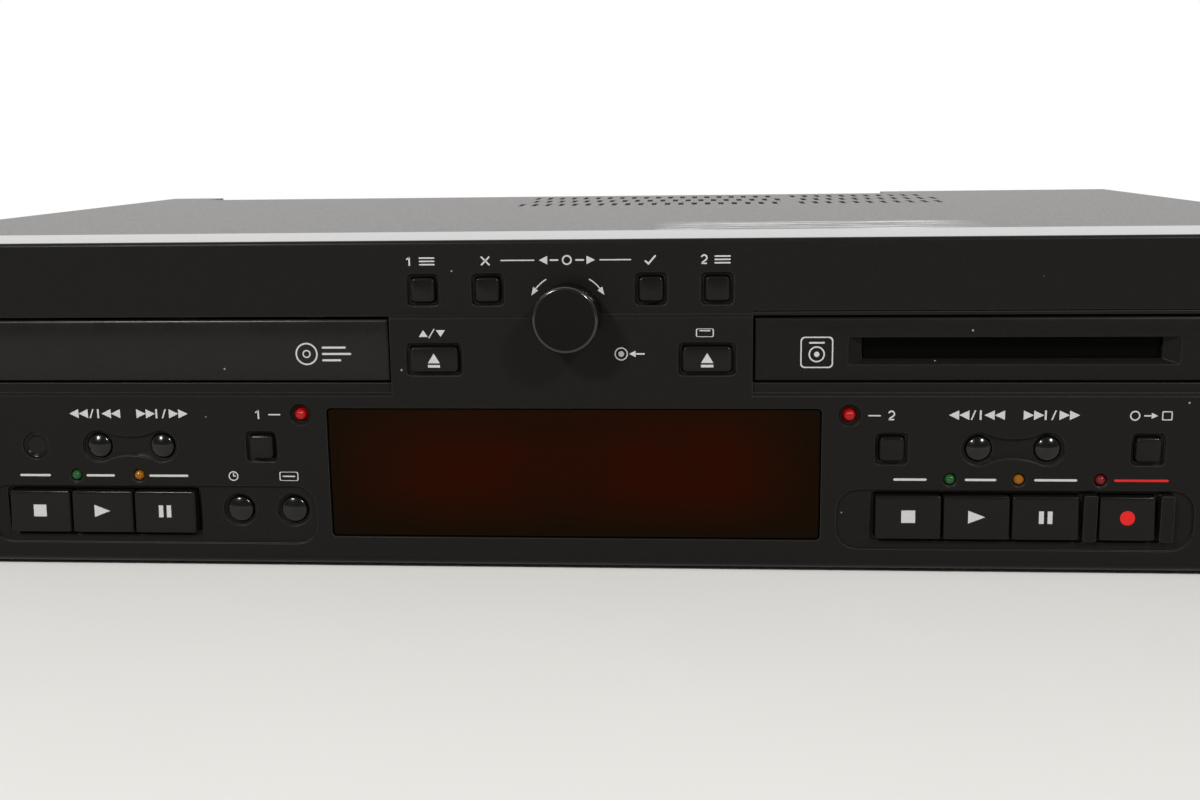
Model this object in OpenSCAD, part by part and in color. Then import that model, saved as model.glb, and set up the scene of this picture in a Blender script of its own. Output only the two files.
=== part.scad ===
// Rack-mount disc deck: a tray player on the left and a cartridge recorder on the right.
// Modules are drawn with the face of the panel at y = 0, depth along +Y and the table at z = 0.
// The whole deck is then set with its origin under the middle of its overall box.

/* [Panel] */
// Width of the panel and of the casing behind it
panel_w = 436; // [434:1:440]
// Height of the panel, two rack units
panel_h = 88; // [87:0.5:92]
// Gap between the table and the bottom edge of the panel
panel_lift = 0.9; // [0.5:0.1:2]
// Thickness of the panel wall
panel_t = 3; // [2.5:0.1:3.4]
// Depth of the moulded rim on top of the panel
rim_d = 33; // [26:1:40]
// Thickness of the rim on top
rim_t = 2.5; // [2:0.1:3]
// Thickness of the rim at the sides
side_t = 1.6; // [1.2:0.1:2]
// Radius of the top front edge
top_r = 1.2; // [0.6:0.1:2]
// Radius of the bottom front edge
bottom_r = 3.2; // [2:0.1:4]

/* [Control face] */
// How far the control face stands proud of the top strip
face_proud = 1.2; // [0.8:0.1:1.6]
// Height of the control face's top edge above the table
face_top = 48.7; // [47.9:0.1:49.5]
// Chamfer along the control face's top edge
face_chamfer = 0.8; // [0.4:0.1:1]
// Half the width of the middle plate that rises between tray and slot
mid_half = 47.5; // [46.5:0.1:48]
// Height of the middle plate's top edge
mid_top = 69.4; // [68.9:0.1:70]
// Depth of the shallow zones round the transport keys
zone_d = 0.8; // [0.4:0.1:1]
// Inner and outer reach of the zones past the display's edge
zone_in = [4.1, 95.8];
// Bottom and top of the zones
zone_z = [6.9, 23.2];
// Radius of the zones' corners
zone_r = 5.5; // [2:0.1:6]
// Depth of the recess right round the keys, past the zone
well_d = 1; // [0.6:0.1:1.4]

/* [Buttons] */
// Side of the square buttons
square_w = 6.4; // [5.8:0.1:7]
// Width of the tray and eject buttons
wide_w = 12.8; // [12:0.1:13.4]
// Height of the tray and eject buttons
wide_h = 6.7; // [6:0.1:7]
// Radius of the skip buttons
skip_r = 3.35; // [3:0.05:3.6]
// Radius of the clock and display buttons
round_r = 3.55; // [3.2:0.05:3.8]
// Width of the ring recess round a button
ring_w = 1.15; // [0.8:0.05:1.3]
// Depth of the ring recess
ring_d = 1; // [0.6:0.1:1.4]
// Half the height of the waist between two skip buttons
skip_waist = 2.7; // [2.2:0.1:3.4]
// Gap between a button and its hole
button_gap = 0.25; // [0.15:0.05:0.35]
// How far a button stands out of the face
button_out = 0.7; // [0.6:0.05:1.2]
// Travel of every button and key
press = 0.6; // [0.4:0.05:0.6]
// Width of a transport key
key_w = 17; // [16.4:0.1:17.1]
// Height of a transport key
key_h = 11.5; // [10.5:0.1:12]
// Distance from key to key
key_pitch = 17.6; // [17.4:0.1:18]
// How far the lower edge of a key stands out of the face
key_out = 1.4; // [0.8:0.1:2]
// Width of the record key
record_w = 14.1; // [13.4:0.1:14.5]
// Width of the two guard ribs beside the record key
guard_w = 3.4; // [3:0.1:3.5]

/* [Places of the controls] */
// Menu buttons from the middle
menu_x = 38.4; // [37.5:0.1:39.5]
// The two answer buttons from the middle
answer_x = 21.3; // [20.3:0.1:22.3]
// Height of the top row of buttons
menu_z = 76; // [75:0.1:77]
// Tray and eject buttons from the middle
open_x = 35.8; // [34.8:0.1:36.8]
// Height of the tray and eject buttons
open_z = 57.8; // [57:0.1:58.5]
// Select buttons from the display's edge
select_in = 18.1; // [17.3:0.1:18.9]
// Height of the select, skip and dubbing buttons
skip_z = 34.1; // [33.4:0.1:34.8]
// Middle of the player's stop key from the display's edge
left_key_in = 81; // [80.4:0.1:81.4]
// Middle of the recorder's stop key from the display's edge
right_key_in = 22.7; // [22.4:0.1:23.2]
// Height of the transport keys
key_z = 15.9; // [15.6:0.1:16.2]
// Middle of the record key from the display's edge
record_in = 78.6; // [78.4:0.05:78.8]
// Middle of the dubbing button from the display's edge
dubbing_in = 83; // [82:0.1:83.8]
// Middles of the clock and display buttons from the display's edge
round_in = [25.4, 10.4];
// Height of the round buttons
round_z = 16.4; // [15.6:0.1:17.2]
// Height of the select lights
select_light_z = 42.9; // [42.4:0.1:43.2]
// Distance of the select lights from the display's edge
select_light_in = 7.1; // [6.4:0.1:7.8]
// Height of the status lights
status_z = 25.9; // [25.8:0.1:26.4]
// How far a status light sits to the left of its key's middle
status_shift = 7; // [6.6:0.1:7.4]
// Middle of the remote sensor from the display's edge
sensor_in = 81; // [80:0.1:82]
// Middle of the power button
power_x = -199; // [-200:0.1:-198]
// Middle of the phones socket
phones_x = -203; // [-204:0.1:-202]
// Middle of the phones level knob
level_x = -180.5; // [-181.5:0.1:-179.5]
// Middle of the input level knob
input_x = 188; // [186:0.1:190]

/* [Lights and windows] */
// Width of the display window
display_w = 131.2; // [128:0.1:133]
// Height of the display window
display_h = 35.6; // [34:0.1:36]
// Middle height of the display window
display_z = 26.9; // [26.5:0.1:27.3]
// Radius of a select light
select_light_r = 1.85; // [1.6:0.05:2]
// Radius of a status light
status_light_r = 1.5; // [1.3:0.05:1.6]
// Radius of the sensor window
sensor_r = 3.6; // [3.2:0.05:4]

/* [Knobs] */
// Radius of the jog knob
jog_r = 8.6; // [8:0.1:9.2]
// Length of the jog knob
jog_l = 10; // [8:0.1:12]
// Radius of the jog shaft
jog_shaft_r = 3; // [2.5:0.1:3.2]
// Radius of the phones level knob
level_r = 6; // [5:0.1:7]
// Radius of the input level knob
input_r = 8; // [7:0.1:9]
// Length of the level knobs
level_l = 9; // [7:0.1:10]
// Running gap of a shaft in its bore
shaft_gap = 0.05; // [0.03:0.01:0.08]

/* [Casing] */
// Depth from the panel's face to the rear panel's face
body_d = 290; // [280:1:305]
// Thickness of the steel sheet
sheet_t = 1.2; // [1:0.1:1.5]
// Thickness of the cover's sheet
cover_t = 1; // [0.8:0.1:1.2]
// How far the cover lies under the top of the rim
cover_drop = 0.4; // [0.2:0.1:0.6]
// Seam between the rim and the cover
cover_seam = 0.3; // [0.2:0.05:0.6]
// Height of the rubber feet
foot_h = 4; // [3.6:0.1:5]
// Radius of the rubber feet
foot_r = 13; // [10:0.5:16]
// Drop of the ledge along the cover's rear edge
ledge_drop = 1.6; // [1.2:0.1:2]
// Width of one vent slot
vent_w = 2; // [1.6:0.1:3]
// Distance from slot to slot
vent_pitch = 5.3; // [5:0.1:6]
// Length of one vent slot
vent_l = 16; // [10:1:20]
// Slots in one row
vent_n = 32; // [20:1:32]
// Distance between the outer ends of the rack ears
ears_w = 482.6; // [481:0.1:484]
// Distance between the rack slots across the deck
rack_x = 465.1; // [464:0.1:466]
// Distance between the rack slots up the deck
rack_z = 76.2; // [70:0.1:78]
// Width of a rack slot
rack_slot_w = 6.8; // [6.4:0.1:7.2]
// Length of a rack slot
rack_slot_l = 10; // [9:0.1:11]
// Thickness of a rack ear
ear_t = 2.5; // [2:0.1:3]
// How far the phono sockets stand out of the rear
socket_out = 8; // [7:0.1:9]

/* [Disc tray] */
// Width of the tray's front
tray_front_w = 131.4; // [129:0.1:132]
// Width of the tray behind it
tray_w = 125; // [124:0.1:126]
// Length of the tray behind its front
tray_l = 162; // [160:1:166]
// Thickness of the tray
tray_t = 4; // [3.6:0.1:4.2]
// Underside of the tray
tray_z = 54; // [53.8:0.1:54.2]
// Middle of the disc behind the panel's face
disc_y = 68; // [67:0.5:69]
// Radius of the well for a 120 mm disc
disc_well_r = 60.5; // [60.2:0.1:61]
// Travel of the tray
tray_travel = 134; // [120:1:135]
// Seam round the tray's front and round the slot plate
seam = 0.5; // [0.35:0.05:0.7]
// Radius of the turntable
turntable_r = 15; // [12:0.5:16]
// Travel of the laser sled
sled_travel = 33; // [28:1:34]

/* [Cartridge slot] */
// Width of the slot for a 72 mm cartridge
slot_w = 75.9; // [74:0.1:77]
// Height of the slot for a 5 mm cartridge
slot_h = 5.8; // [5.6:0.1:6.2]
// Middle height of the slot
slot_z = 60.1; // [59.8:0.1:60.4]
// Inner width of the cartridge holder
holder_w = 73.2; // [72.8:0.1:74]
// Length of the cartridge holder
holder_l = 70; // [68:1:72]
// How far the holder drops onto the spindle
holder_travel = 3; // [2:0.1:3.2]
// Travel of the recorder's sled
head_travel = 16; // [14:0.5:17]

/* [Hidden] */
$fn = 48;

// Colours
plastic_black = [0.11, 0.11, 0.115];
key_black = [0.13, 0.13, 0.135];
steel_black = [0.16, 0.16, 0.165];
rubber_black = [0.06, 0.06, 0.06];
window_brown = [0.13, 0.04, 0.02, 0.6];
zinc_grey = [0.66, 0.67, 0.66];
screw_black = [0.2, 0.2, 0.2];
board_green = [0.1, 0.3, 0.16];
moulding_grey = [0.3, 0.3, 0.31];
moulding_white = [0.82, 0.82, 0.78];
motor_steel = [0.7, 0.7, 0.72];
glass_grey = [0.3, 0.36, 0.36];
light_red = [0.75, 0.05, 0.04];

// Panel
panel_z0 = panel_lift;
panel_z1 = panel_lift + panel_h;
panel_mid_z = panel_lift + panel_h / 2;
face_y = -face_proud;
zone_y = face_y + zone_d;
opening_z0 = face_top + 2.6;
opening_z1 = mid_top - 0.3;
deck_x = tray_front_w / 2 + seam + mid_half;
opening_half = tray_front_w / 2 + seam;
front_z0 = opening_z0 + seam;
front_z1 = opening_z1 - seam;
cut = 1;

// Board behind the panel, and the switches on it
flange_t = 1;
flange_gap = 0.3;
switch_h = 1.6;
switch_w = 6;
board_t = 1.6;
switch_gap = 0.2;
plunger_r = 1.5;
plunger_l = 2.6;
flange_y = panel_t + flange_gap;
plunger_y = flange_y + flange_t + plunger_l;
switch_y = plunger_y + press + switch_gap;
board_y = switch_y + switch_h;
board_z0 = 7;
board_z1 = 45.4;
boss_r = 2.5;
boss_places = [[-168, 42], [168, 42], [-168, 9.8], [168, 9.8], [-30, 83.6], [30, 83.6]];

// Places that follow from the sizes above
display_half = display_w / 2;
tube_half = display_half - 5.6;
zone_x = [display_half + zone_in[0], display_half + zone_in[1]];
select_x = display_half + select_in;
left_key_x = -display_half - left_key_in;
right_key_x = display_half + right_key_in;
record_x = display_half + record_in;
dubbing_x = display_half + dubbing_in;
round_x = [-display_half - round_in[0], -display_half - round_in[1]];
select_light_x = display_half + select_light_in;
sensor_x = -display_half - sensor_in;
player_key_x = [for (i = [0:2]) left_key_x + i * key_pitch];
recorder_key_x = [for (i = [0:2]) right_key_x + i * key_pitch];
player_skip_x = [player_key_x[1], player_key_x[2]];
recorder_skip_x = [recorder_key_x[1], recorder_key_x[2]];
guard_x = [record_x - record_w / 2 - 0.7 - guard_w / 2, record_x + record_w / 2 + 1.2 + guard_w / 2];
status_x = [
    player_key_x[1] - status_shift, player_key_x[2] - status_shift,
    recorder_key_x[1] - status_shift, recorder_key_x[2] - status_shift, record_x - status_shift
];
square_places = [
    [-menu_x, menu_z, 0], [menu_x, menu_z, 0], [-answer_x, menu_z, 0], [answer_x, menu_z, 0],
    [-select_x, skip_z, face_y], [select_x, skip_z, face_y], [dubbing_x, skip_z, face_y]
];
wide_places = [[-open_x, open_z, face_y], [open_x, open_z, face_y]];
power_w = 15;
power_h = 8;
jog_z = mid_top;
knob_gap = 0.4;
jog_back = face_y - press - knob_gap;
jog_front = jog_back - jog_l;
level_back = face_y - knob_gap;
bush_r = jog_shaft_r + 0.6;
bush_gap = 0.2;
pot_shaft_r = 2;

// Casing
rear_y = body_d - sheet_t;
half_w = panel_w / 2;
chassis_half = half_w - side_t - 0.2;
floor_z = foot_h + sheet_t;
cover_z = panel_z1 - cover_drop;
cover_y = rim_d + cover_seam;
wall_top = cover_z - cover_t - 2.2;
ledge_y = body_d - 20;
ledge_x = [-195, 118];
vent_x0 = -37.2;
vent_y0 = body_d - 106;
vent_step = 28;
vent_missing = 20;
foot_y = [48, body_d - 32];
foot_places = [for (x = [-180, 180]) for (y = foot_y) [x, y]];
screw_r = 1.5;
screw_hole_r = 1.65;
head_r = 2.9;
head_h = 1.8;
ear_leg_l = 62;
ear_screws = [[46, 28], [46, 60]];
cover_screws = [[150, 22], [body_d - 28, 22]];
rear_screw_x = [-120, -40, 40, 190];
rear_screw_z = floor_z + 3.2;
lip_h = 6;

// Sockets in the rear panel
phono_r = 4.15;
phono_x = [70, 95, 120, 150];
phono_z = [30, 52];
phono_block = [58, 164];
phono_block_d = 14;
inlet_x = -165;
inlet_z = 42;
inlet_w = 24.4;
inlet_h = 16.6;
inlet_d = 16;
inlet_wall = 1.6;
inlet_flange = 3.4;
phones_bore_r = 3.25;
phones_barrel_r = 4.6;
phones_l = 30;
optical_w = 10;

// Boards and transformer
main_z = floor_z + 6;
main_x = [-95, 205];
core_d = 56;
core_h = 48;
coil_out = 6;
standoff_in = [10, 12];

// Disc mechanism
gap = 0.4;
slide_gap = 0.3;
disc_z = tray_z + tray_t - 1;
well_z = tray_z + tray_t - 2.2;
tray_back = panel_t + tray_l;
front_t = panel_t - 0.4;
frame_half = tray_w / 2 + 0.5;
frame_wall = 2.5;
frame_z = tray_z - 12;
frame_floor_t = 2;
frame_top = tray_z + tray_t + 6;
frame_y = [13, tray_back + 5];
main_y = [frame_y[1] + 8, body_d - 6];
core_y = (frame_y[1] + body_d - inlet_d - 3 - core_d) / 2;
core = [-178, -122, core_y, core_y + core_d];
standoffs = [
    for (x = [main_x[0] + standoff_in[0], main_x[1] - standoff_in[0]])
        for (y = [main_y[0] + standoff_in[1], main_y[1] - standoff_in[1]])
            [x, y]
];
gear_y = 26;
rack_x_in = 52;
pinion_m = 1;
pinion_n = 16;
wheel_m = 0.8;
wheel_n = 36;
motor_n = 10;
pinion_r = pinion_m * pinion_n / 2;
wheel_r = wheel_m * wheel_n / 2;
motor_gear_r = wheel_m * motor_n / 2;
rack_pitch = PI * pinion_m;
gear_x = rack_x_in - pinion_r;
motor_angle = 120;
motor_x = gear_x + (wheel_r + motor_gear_r) * cos(motor_angle);
motor_y = gear_y + (wheel_r + motor_gear_r) * sin(motor_angle);
wheel_z = [tray_z - 7.8, tray_z - 5.4];
gear_top = tray_z - 0.6;
rack_z0 = tray_z - 2.3;
gear_pin_r = 2;
motor_shaft_r = 1;
motor_r = 11;
motor_l = 18;
traverse_half = 36;
traverse_y = [54, 150];
traverse_z = [tray_z - 8, tray_z - 5.5];
hinge_y = 154;
hinge_z = tray_z - 6.8;
hinge_r = 2;
rod_x_off = 22;
rod_r = 1.5;
rod_z = tray_z - 3.4;
lens_rest = 25;
bridge_y = [disc_y - 20, disc_y + 20];
bridge_t = 1.5;
clamp_r = 11;
clamp_gap = 1;

// Cartridge mechanism
holder_h = 5.7;
holder_t = 0.8;
holder_y = [13, 13 + holder_l];
slot_frame_half = 44.5;
slot_frame_wall = 2.5;
slot_frame_z = [44, 72];
slot_frame_y = [14, 118];
spindle_y = 45;
flap_axis = [4.4, slot_z + slot_h / 2 + 1.4];
flap_half = slot_w / 2 - 0.3;
head_rod_x = 18;
head_rod_r = 1.2;
head_rod_z = 50;
pin_y = [22, 74];
pin_r = 1.5;

// ---- Shapes ----

// Points of an arc, n steps
function arc(cx, cy, r, a0, a1, n) =
    [for (i = [0:n]) let (a = a0 + (a1 - a0) * i / n) [cx + r * cos(a), cy + r * sin(a)]];

// Outline of a rectangle with round corners, centred
function rounded(w, h, r, n = 4) = concat(
    arc(w / 2 - r, h / 2 - r, r, 0, 90, n),
    arc(r - w / 2, h / 2 - r, r, 90, 180, n),
    arc(r - w / 2, r - h / 2, r, 180, 270, n),
    arc(w / 2 - r, r - h / 2, r, 270, 360, n));

// Outline of a spur gear with straight flanks and room between its teeth
function gear(m, n) = [
    for (i = [0:n - 1]) each let (
        p = 360 / n, a = i * p, r = m * n / 2, tip = r + 0.85 * m, root = r - 1.15 * m
    ) [for (q = [[root, -0.29], [tip, -0.11], [tip, 0.11], [root, 0.29]])
        [q[0] * cos(a + q[1] * p), q[0] * sin(a + q[1] * p)]]
];

// Block between two values on each axis
module block(x, y, z) {
    translate([x[0], y[0], z[0]])
        cube([x[1] - x[0], y[1] - y[0], z[1] - z[0]]);
}

// Rounded slab that faces the front, middle at x and z
module slab(x, z, w, h, r, y0, y1) {
    translate([x, y1, z])
        rotate([90, 0, 0])
            linear_extrude(y1 - y0)
                polygon(rounded(w, h, r));
}

// Round bars along each axis
module bar_x(y, z, r, x0, x1) {
    translate([x0, y, z])
        rotate([0, 90, 0])
            cylinder(h = x1 - x0, r = r);
}

module bar_y(x, z, r, y0, y1) {
    translate([x, y1, z])
        rotate([90, 0, 0])
            cylinder(h = y1 - y0, r = r);
}

module bar_z(x, y, r, z0, z1) {
    translate([x, y, z0])
        cylinder(h = z1 - z0, r = r);
}

// Outline in depth and height, run across the deck from x0 to x1
module across(x0, x1, points) {
    translate([x0, 0, 0])
        rotate([90, 0, 90])
            linear_extrude(x1 - x0)
                polygon(points);
}

// Cone along Y, r0 at y0
module cone_y(x, z, r0, r1, y0, y1) {
    translate([x, y0, z])
        rotate([-90, 0, 0])
            cylinder(h = y1 - y0, r1 = r0, r2 = r1);
}

module mirrored() {
    children();
    mirror([1, 0, 0])
        children();
}

// ---- Panel ----

panel_section = concat(
    [[panel_t, panel_z0]],
    arc(face_y + bottom_r, panel_z0 + bottom_r, bottom_r, 270, 180, 6),
    [[face_y, face_top - face_chamfer], [face_y + face_chamfer, face_top], [0, face_top]],
    arc(top_r, panel_z1 - top_r, top_r, 180, 90, 4),
    [[rim_d, panel_z1], [rim_d, panel_z1 - rim_t], [panel_t, panel_z1 - rim_t]]);

mid_section = [
    [cut / 2, face_top - 3], [face_y, face_top - 3], [face_y, mid_top - face_chamfer],
    [face_y + face_chamfer, mid_top], [cut / 2, mid_top]
];

// Hole for a button and the ring recess round it
module button_cut(x, z, w, h, y) {
    slab(x, z, w + 2 * ring_w, h + 2 * ring_w, 1.5, y - cut, y + ring_d);
    slab(x, z, w + 2 * button_gap, h + 2 * button_gap, 0.8, y - cut, panel_t + cut);
}

module round_cut(x, z, r, y) {
    bar_y(x, z, r + ring_w, y - cut, y + ring_d);
    bar_y(x, z, r + button_gap, y - cut, panel_t + cut);
}

// Recess round a pair of skip buttons: two rings joined by a waist, whose hollow sides are
// arcs that touch both rings
module skip_cut(xs) {
    half = (xs[1] - xs[0]) / 2;
    ring = skip_r + ring_w;
    hollow_r = (half * half + skip_waist * skip_waist - ring * ring) / (2 * (ring - skip_waist));
    for (x = xs) {
        bar_y(x, skip_z, skip_r + ring_w, face_y - cut, face_y + ring_d);
        bar_y(x, skip_z, skip_r + button_gap, face_y - cut, panel_t + cut);
    }
    difference() {
        block(xs, [face_y - cut, face_y + ring_d], [skip_z - ring, skip_z + ring]);
        for (s = [-1, 1])
            bar_y(xs[0] + half, skip_z + s * (skip_waist + hollow_r), hollow_r,
                face_y - 2 * cut, face_y + ring_d + cut);
    }
}

// Opening for a row of keys between x0 and x1, and the recess round it
module keys_cut(x0, x1) {
    slab((x0 + x1) / 2, key_z, x1 - x0 + 2 * button_gap, key_h + 2 * button_gap, 0.5,
        zone_y - cut, panel_t + cut);
}

module key_well(x0, x1) {
    slab((x0 + x1) / 2, key_z, x1 - x0 + 2.4, key_h + 2.2, 1.6, zone_y - cut, zone_y + well_d);
}

module zone_cut() {
    slab((zone_x[0] + zone_x[1]) / 2, (zone_z[0] + zone_z[1]) / 2, zone_x[1] - zone_x[0],
        zone_z[1] - zone_z[0], zone_r, face_y - cut, zone_y);
}

module light_cut(x, z, r, flare) {
    bar_y(x, z, r + 0.15, face_y - cut, panel_t + cut);
    cone_y(x, z, r + flare + 0.3, r + 0.3, face_y - 0.3, face_y + flare);
}

module fascia() {
    color(plastic_black)
    difference() {
        union() {
            across(-half_w, half_w, panel_section);
            across(-mid_half, mid_half, mid_section);
            mirrored()
                block([half_w - side_t, half_w], [top_r, rim_d], [foot_h, panel_z1 - rim_t / 2]);
            for (p = boss_places)
                bar_y(p[0], p[1], boss_r, panel_t - cut, board_y);
            for (x = [-190, -60, 60, 190])
                block([x - 6, x + 6], [panel_t - cut, board_y - 1], [floor_z, board_z0 - 0.4]);
        }
        mirrored()
            zone_cut();
        for (s = [-1, 1])
            slab(s * deck_x, (opening_z0 + opening_z1) / 2, 2 * opening_half,
                opening_z1 - opening_z0, 0.6, face_y - cut, panel_t + cut);
        block([mid_half, deck_x + opening_half], [-cut, 0.5], [mid_top + 0.5, mid_top + 0.9]);
        for (p = square_places)
            button_cut(p[0], p[1], square_w, square_w, p[2]);
        for (p = wide_places)
            button_cut(p[0], p[1], wide_w, wide_h, p[2]);
        button_cut(power_x, skip_z, power_w, power_h, face_y);
        skip_cut(player_skip_x);
        skip_cut(recorder_skip_x);
        for (x = round_x)
            round_cut(x, round_z, round_r, zone_y);
        key_well(player_key_x[0] - key_w / 2, player_key_x[2] + key_w / 2);
        keys_cut(player_key_x[0] - key_w / 2, player_key_x[2] + key_w / 2);
        key_well(recorder_key_x[0] - key_w / 2, guard_x[1] + guard_w / 2 - 0.8);
        keys_cut(recorder_key_x[0] - key_w / 2, recorder_key_x[2] + key_w / 2);
        keys_cut(record_x - record_w / 2, record_x + record_w / 2);
        slab(0, display_z, display_w, display_h, 1.2, face_y - cut, panel_t + cut);
        for (x = [-select_light_x, select_light_x])
            light_cut(x, select_light_z, select_light_r, 1.1);
        for (x = status_x)
            light_cut(x, status_z, status_light_r, 0.4);
        bar_y(sensor_x, skip_z, sensor_r + 0.1, face_y - cut, panel_t + cut);
        bar_y(0, jog_z, bush_r + bush_gap, face_y - cut, panel_t + cut);
        bar_y(phones_x, key_z, phones_barrel_r + 0.15, face_y - cut, panel_t + cut);
        for (x = [level_x, input_x])
            bar_y(x, key_z, pot_shaft_r + 0.4, face_y - cut, panel_t + cut);
    }
    color(plastic_black)
        for (x = guard_x)
            slab(x, key_z, guard_w, key_h + 0.8, 0.5, face_y - key_out, zone_y + well_d);
}

// Plate that fills an opening: its face bulges a little and its rim is clipped behind the wall
function plate_section(z0, z1, y1) = concat(
    [[y1, z0]],
    [for (i = [0:8]) let (t = i / 8, s = 2 * t - 1) [0.2 - 0.6 * (1 - pow(abs(s), 3)), z0 + (z1 - z0) * t]],
    [[y1, z1]]);

// Bevelled way in to the slot: one outline in height crossed with one in width
module slot_funnel(bevel) {
    low = slot_z - 0.4 - slot_h / 2 - 0.75;
    high = slot_z - 0.4 + slot_h / 2 + 0.75;
    wide = (slot_w + bevel) / 2;
    intersection() {
        across(deck_x - wide - 1, deck_x + wide + 1, [
            [0.29, low], [0.29, high], [2.3, slot_z + slot_h / 2], [2.3, slot_z - slot_h / 2]
        ]);
        translate([deck_x, 0, slot_z - slot_h])
            linear_extrude(2 * slot_h)
                polygon([[-wide, 0.29], [wide, 0.29], [slot_w / 2, 2.3], [-slot_w / 2, 2.3]]);
    }
}

module slot_plate() {
    bevel = 3.4;
    color(plastic_black)
    difference() {
        union() {
            across(deck_x - tray_front_w / 2, deck_x + tray_front_w / 2,
                plate_section(front_z0, front_z1, panel_t));
            block([deck_x - tray_front_w / 2 - 2, deck_x + tray_front_w / 2 + 2],
                [panel_t, panel_t + flange_t], [opening_z0 - 2, opening_z1 + 0.5]);
            for (s = [-1, 1])
                block([deck_x + s * (flap_half + 2.1) - 1.3, deck_x + s * (flap_half + 2.1) + 1.3],
                    [panel_t + flange_t, flap_axis[0] + 2.4], [flap_axis[1] - 4, flap_axis[1] + 2]);
        }
        slab(deck_x, slot_z, slot_w, slot_h, 0.4, -cut, panel_t + 1.2);
        slab(deck_x, slot_z - 0.4, slot_w + bevel, slot_h + 1.5, 0.4, -cut, 0.3);
        slot_funnel(bevel);
        block([deck_x - flap_half - 0.4, deck_x + flap_half + 0.4],
            [panel_t - 0.2, panel_t + flange_t + cut], [slot_z - slot_h / 2 - 1, flap_axis[1] + 1.7]);
        bar_x(flap_axis[0], flap_axis[1], 1.05, deck_x - flap_half - 5, deck_x + flap_half + 5);
    }
}

module display_window() {
    color(window_brown) {
        slab(0, display_z, display_w - 0.4, display_h - 0.4, 1, face_y + 0.5, panel_t);
        slab(0, display_z, display_w + 5, display_h + 1.6, 1, panel_t, panel_t + flange_t);
    }
}

module display_module() {
    color(glass_grey)
        block([-tube_half, tube_half], [panel_t + flange_t + 0.2, board_y - 1],
            [display_z - 15, display_z + 15]);
    color(motor_steel)
        for (s = [-1, 1])
            block([4 - tube_half, tube_half - 4], [board_y - 1, board_y],
                [display_z + s * 13 - 0.6, display_z + s * 13 + 0.6]);
}

module sensor_window() {
    color(window_brown)
    difference() {
        union() {
            bar_y(sensor_x, skip_z, sensor_r, face_y + 0.3, panel_t);
            bar_y(sensor_x, skip_z, sensor_r + 1, panel_t, panel_t + flange_t);
        }
        cone_y(sensor_x, skip_z, sensor_r - 0.3, sensor_r - 1, face_y + 0.2, face_y + 1.1);
    }
}

// Light with a domed lens, standing on the board
module light(x, z, r) {
    translate([x, face_y + r - 0.6, z])
        sphere(r = r);
    bar_y(x, z, r, face_y + r - 0.6, board_y);
}

module indicator_lights() {
    color(light_red) {
        for (x = [-select_light_x, select_light_x])
            light(x, select_light_z, select_light_r);
        for (x = status_x)
            light(x, status_z, status_light_r);
    }
}

// ---- Casing ----

module rack_ear() {
    difference() {
        union() {
            block([half_w, ears_w / 2], [0, ear_t], [panel_z0, panel_z1]);
            block([half_w, half_w + ear_t], [0, ear_leg_l], [panel_z0 + 4, panel_z1 - 3]);
        }
        for (s = [-1, 1]) {
            z = panel_mid_z + s * rack_z / 2;
            half = (rack_slot_l - rack_slot_w) / 2;
            for (e = [-1, 1])
                bar_y(rack_x / 2 + e * half, z, rack_slot_w / 2, -cut, ear_t + cut);
            block([rack_x / 2 - half, rack_x / 2 + half], [-cut, ear_t + cut],
                [z - rack_slot_w / 2, z + rack_slot_w / 2]);
        }
        for (p = ear_screws)
            bar_x(p[0], p[1], screw_hole_r, half_w - cut, half_w + ear_t + cut);
    }
}

module rack_ears() {
    color(steel_black)
        mirrored()
            rack_ear();
}

// Rows of slots in two banks, every second row half a pitch to the side
module vent_slots() {
    for (row = [0:2])
        for (i = [0:vent_n - 1]) if (i != vent_missing) {
            x = vent_x0 + (i + (row % 2) / 2) * vent_pitch;
            y = vent_y0 + row * vent_step;
            block([x - vent_w / 2, x + vent_w / 2], [y, y + vent_l], [cover_z - 3, cover_z + cut]);
        }
}

module top_cover() {
    color(steel_black)
    difference() {
        union() {
            block([-half_w, half_w], [cover_y, body_d], [cover_z - cover_t, cover_z]);
            block([ledge_x[0], ledge_x[1]], [ledge_y, body_d],
                [cover_z - ledge_drop - cover_t, cover_z - cover_t]);
            mirrored()
                block([half_w - cover_t, half_w], [cover_y, body_d], [foot_h + 0.4, cover_z]);
        }
        block([ledge_x[0] + 1, ledge_x[1] - 1], [ledge_y + 1, body_d + cut],
            [cover_z - ledge_drop, cover_z + cut]);
        vent_slots();
        mirrored() {
            for (p = concat(ear_screws, cover_screws))
                bar_x(p[0], p[1], screw_hole_r, half_w - 3, half_w + cut);
        }
    }
}

module bottom_chassis() {
    color(zinc_grey)
    difference() {
        union() {
            block([-chassis_half, chassis_half], [panel_t + 0.2, rear_y], [foot_h, floor_z]);
            mirrored()
                block([chassis_half - sheet_t, chassis_half], [rim_d, rear_y], [floor_z, wall_top]);
            block([-chassis_half, chassis_half], [rear_y - sheet_t, rear_y], [floor_z, floor_z + lip_h]);
            for (p = standoffs)
                bar_z(p[0], p[1], 3, floor_z, main_z);
        }
        for (i = [0:9])
            block([-42 + i * 10, -38 + i * 10], [130, 165], [foot_h - cut, floor_z + cut]);
        mirrored() {
            for (p = concat(ear_screws, cover_screws))
                bar_x(p[0], p[1], screw_hole_r, chassis_half - 3, half_w);
        }
        for (x = rear_screw_x)
            bar_y(x, rear_screw_z, screw_hole_r, rear_y - 4, rear_y + cut);
    }
}

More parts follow.
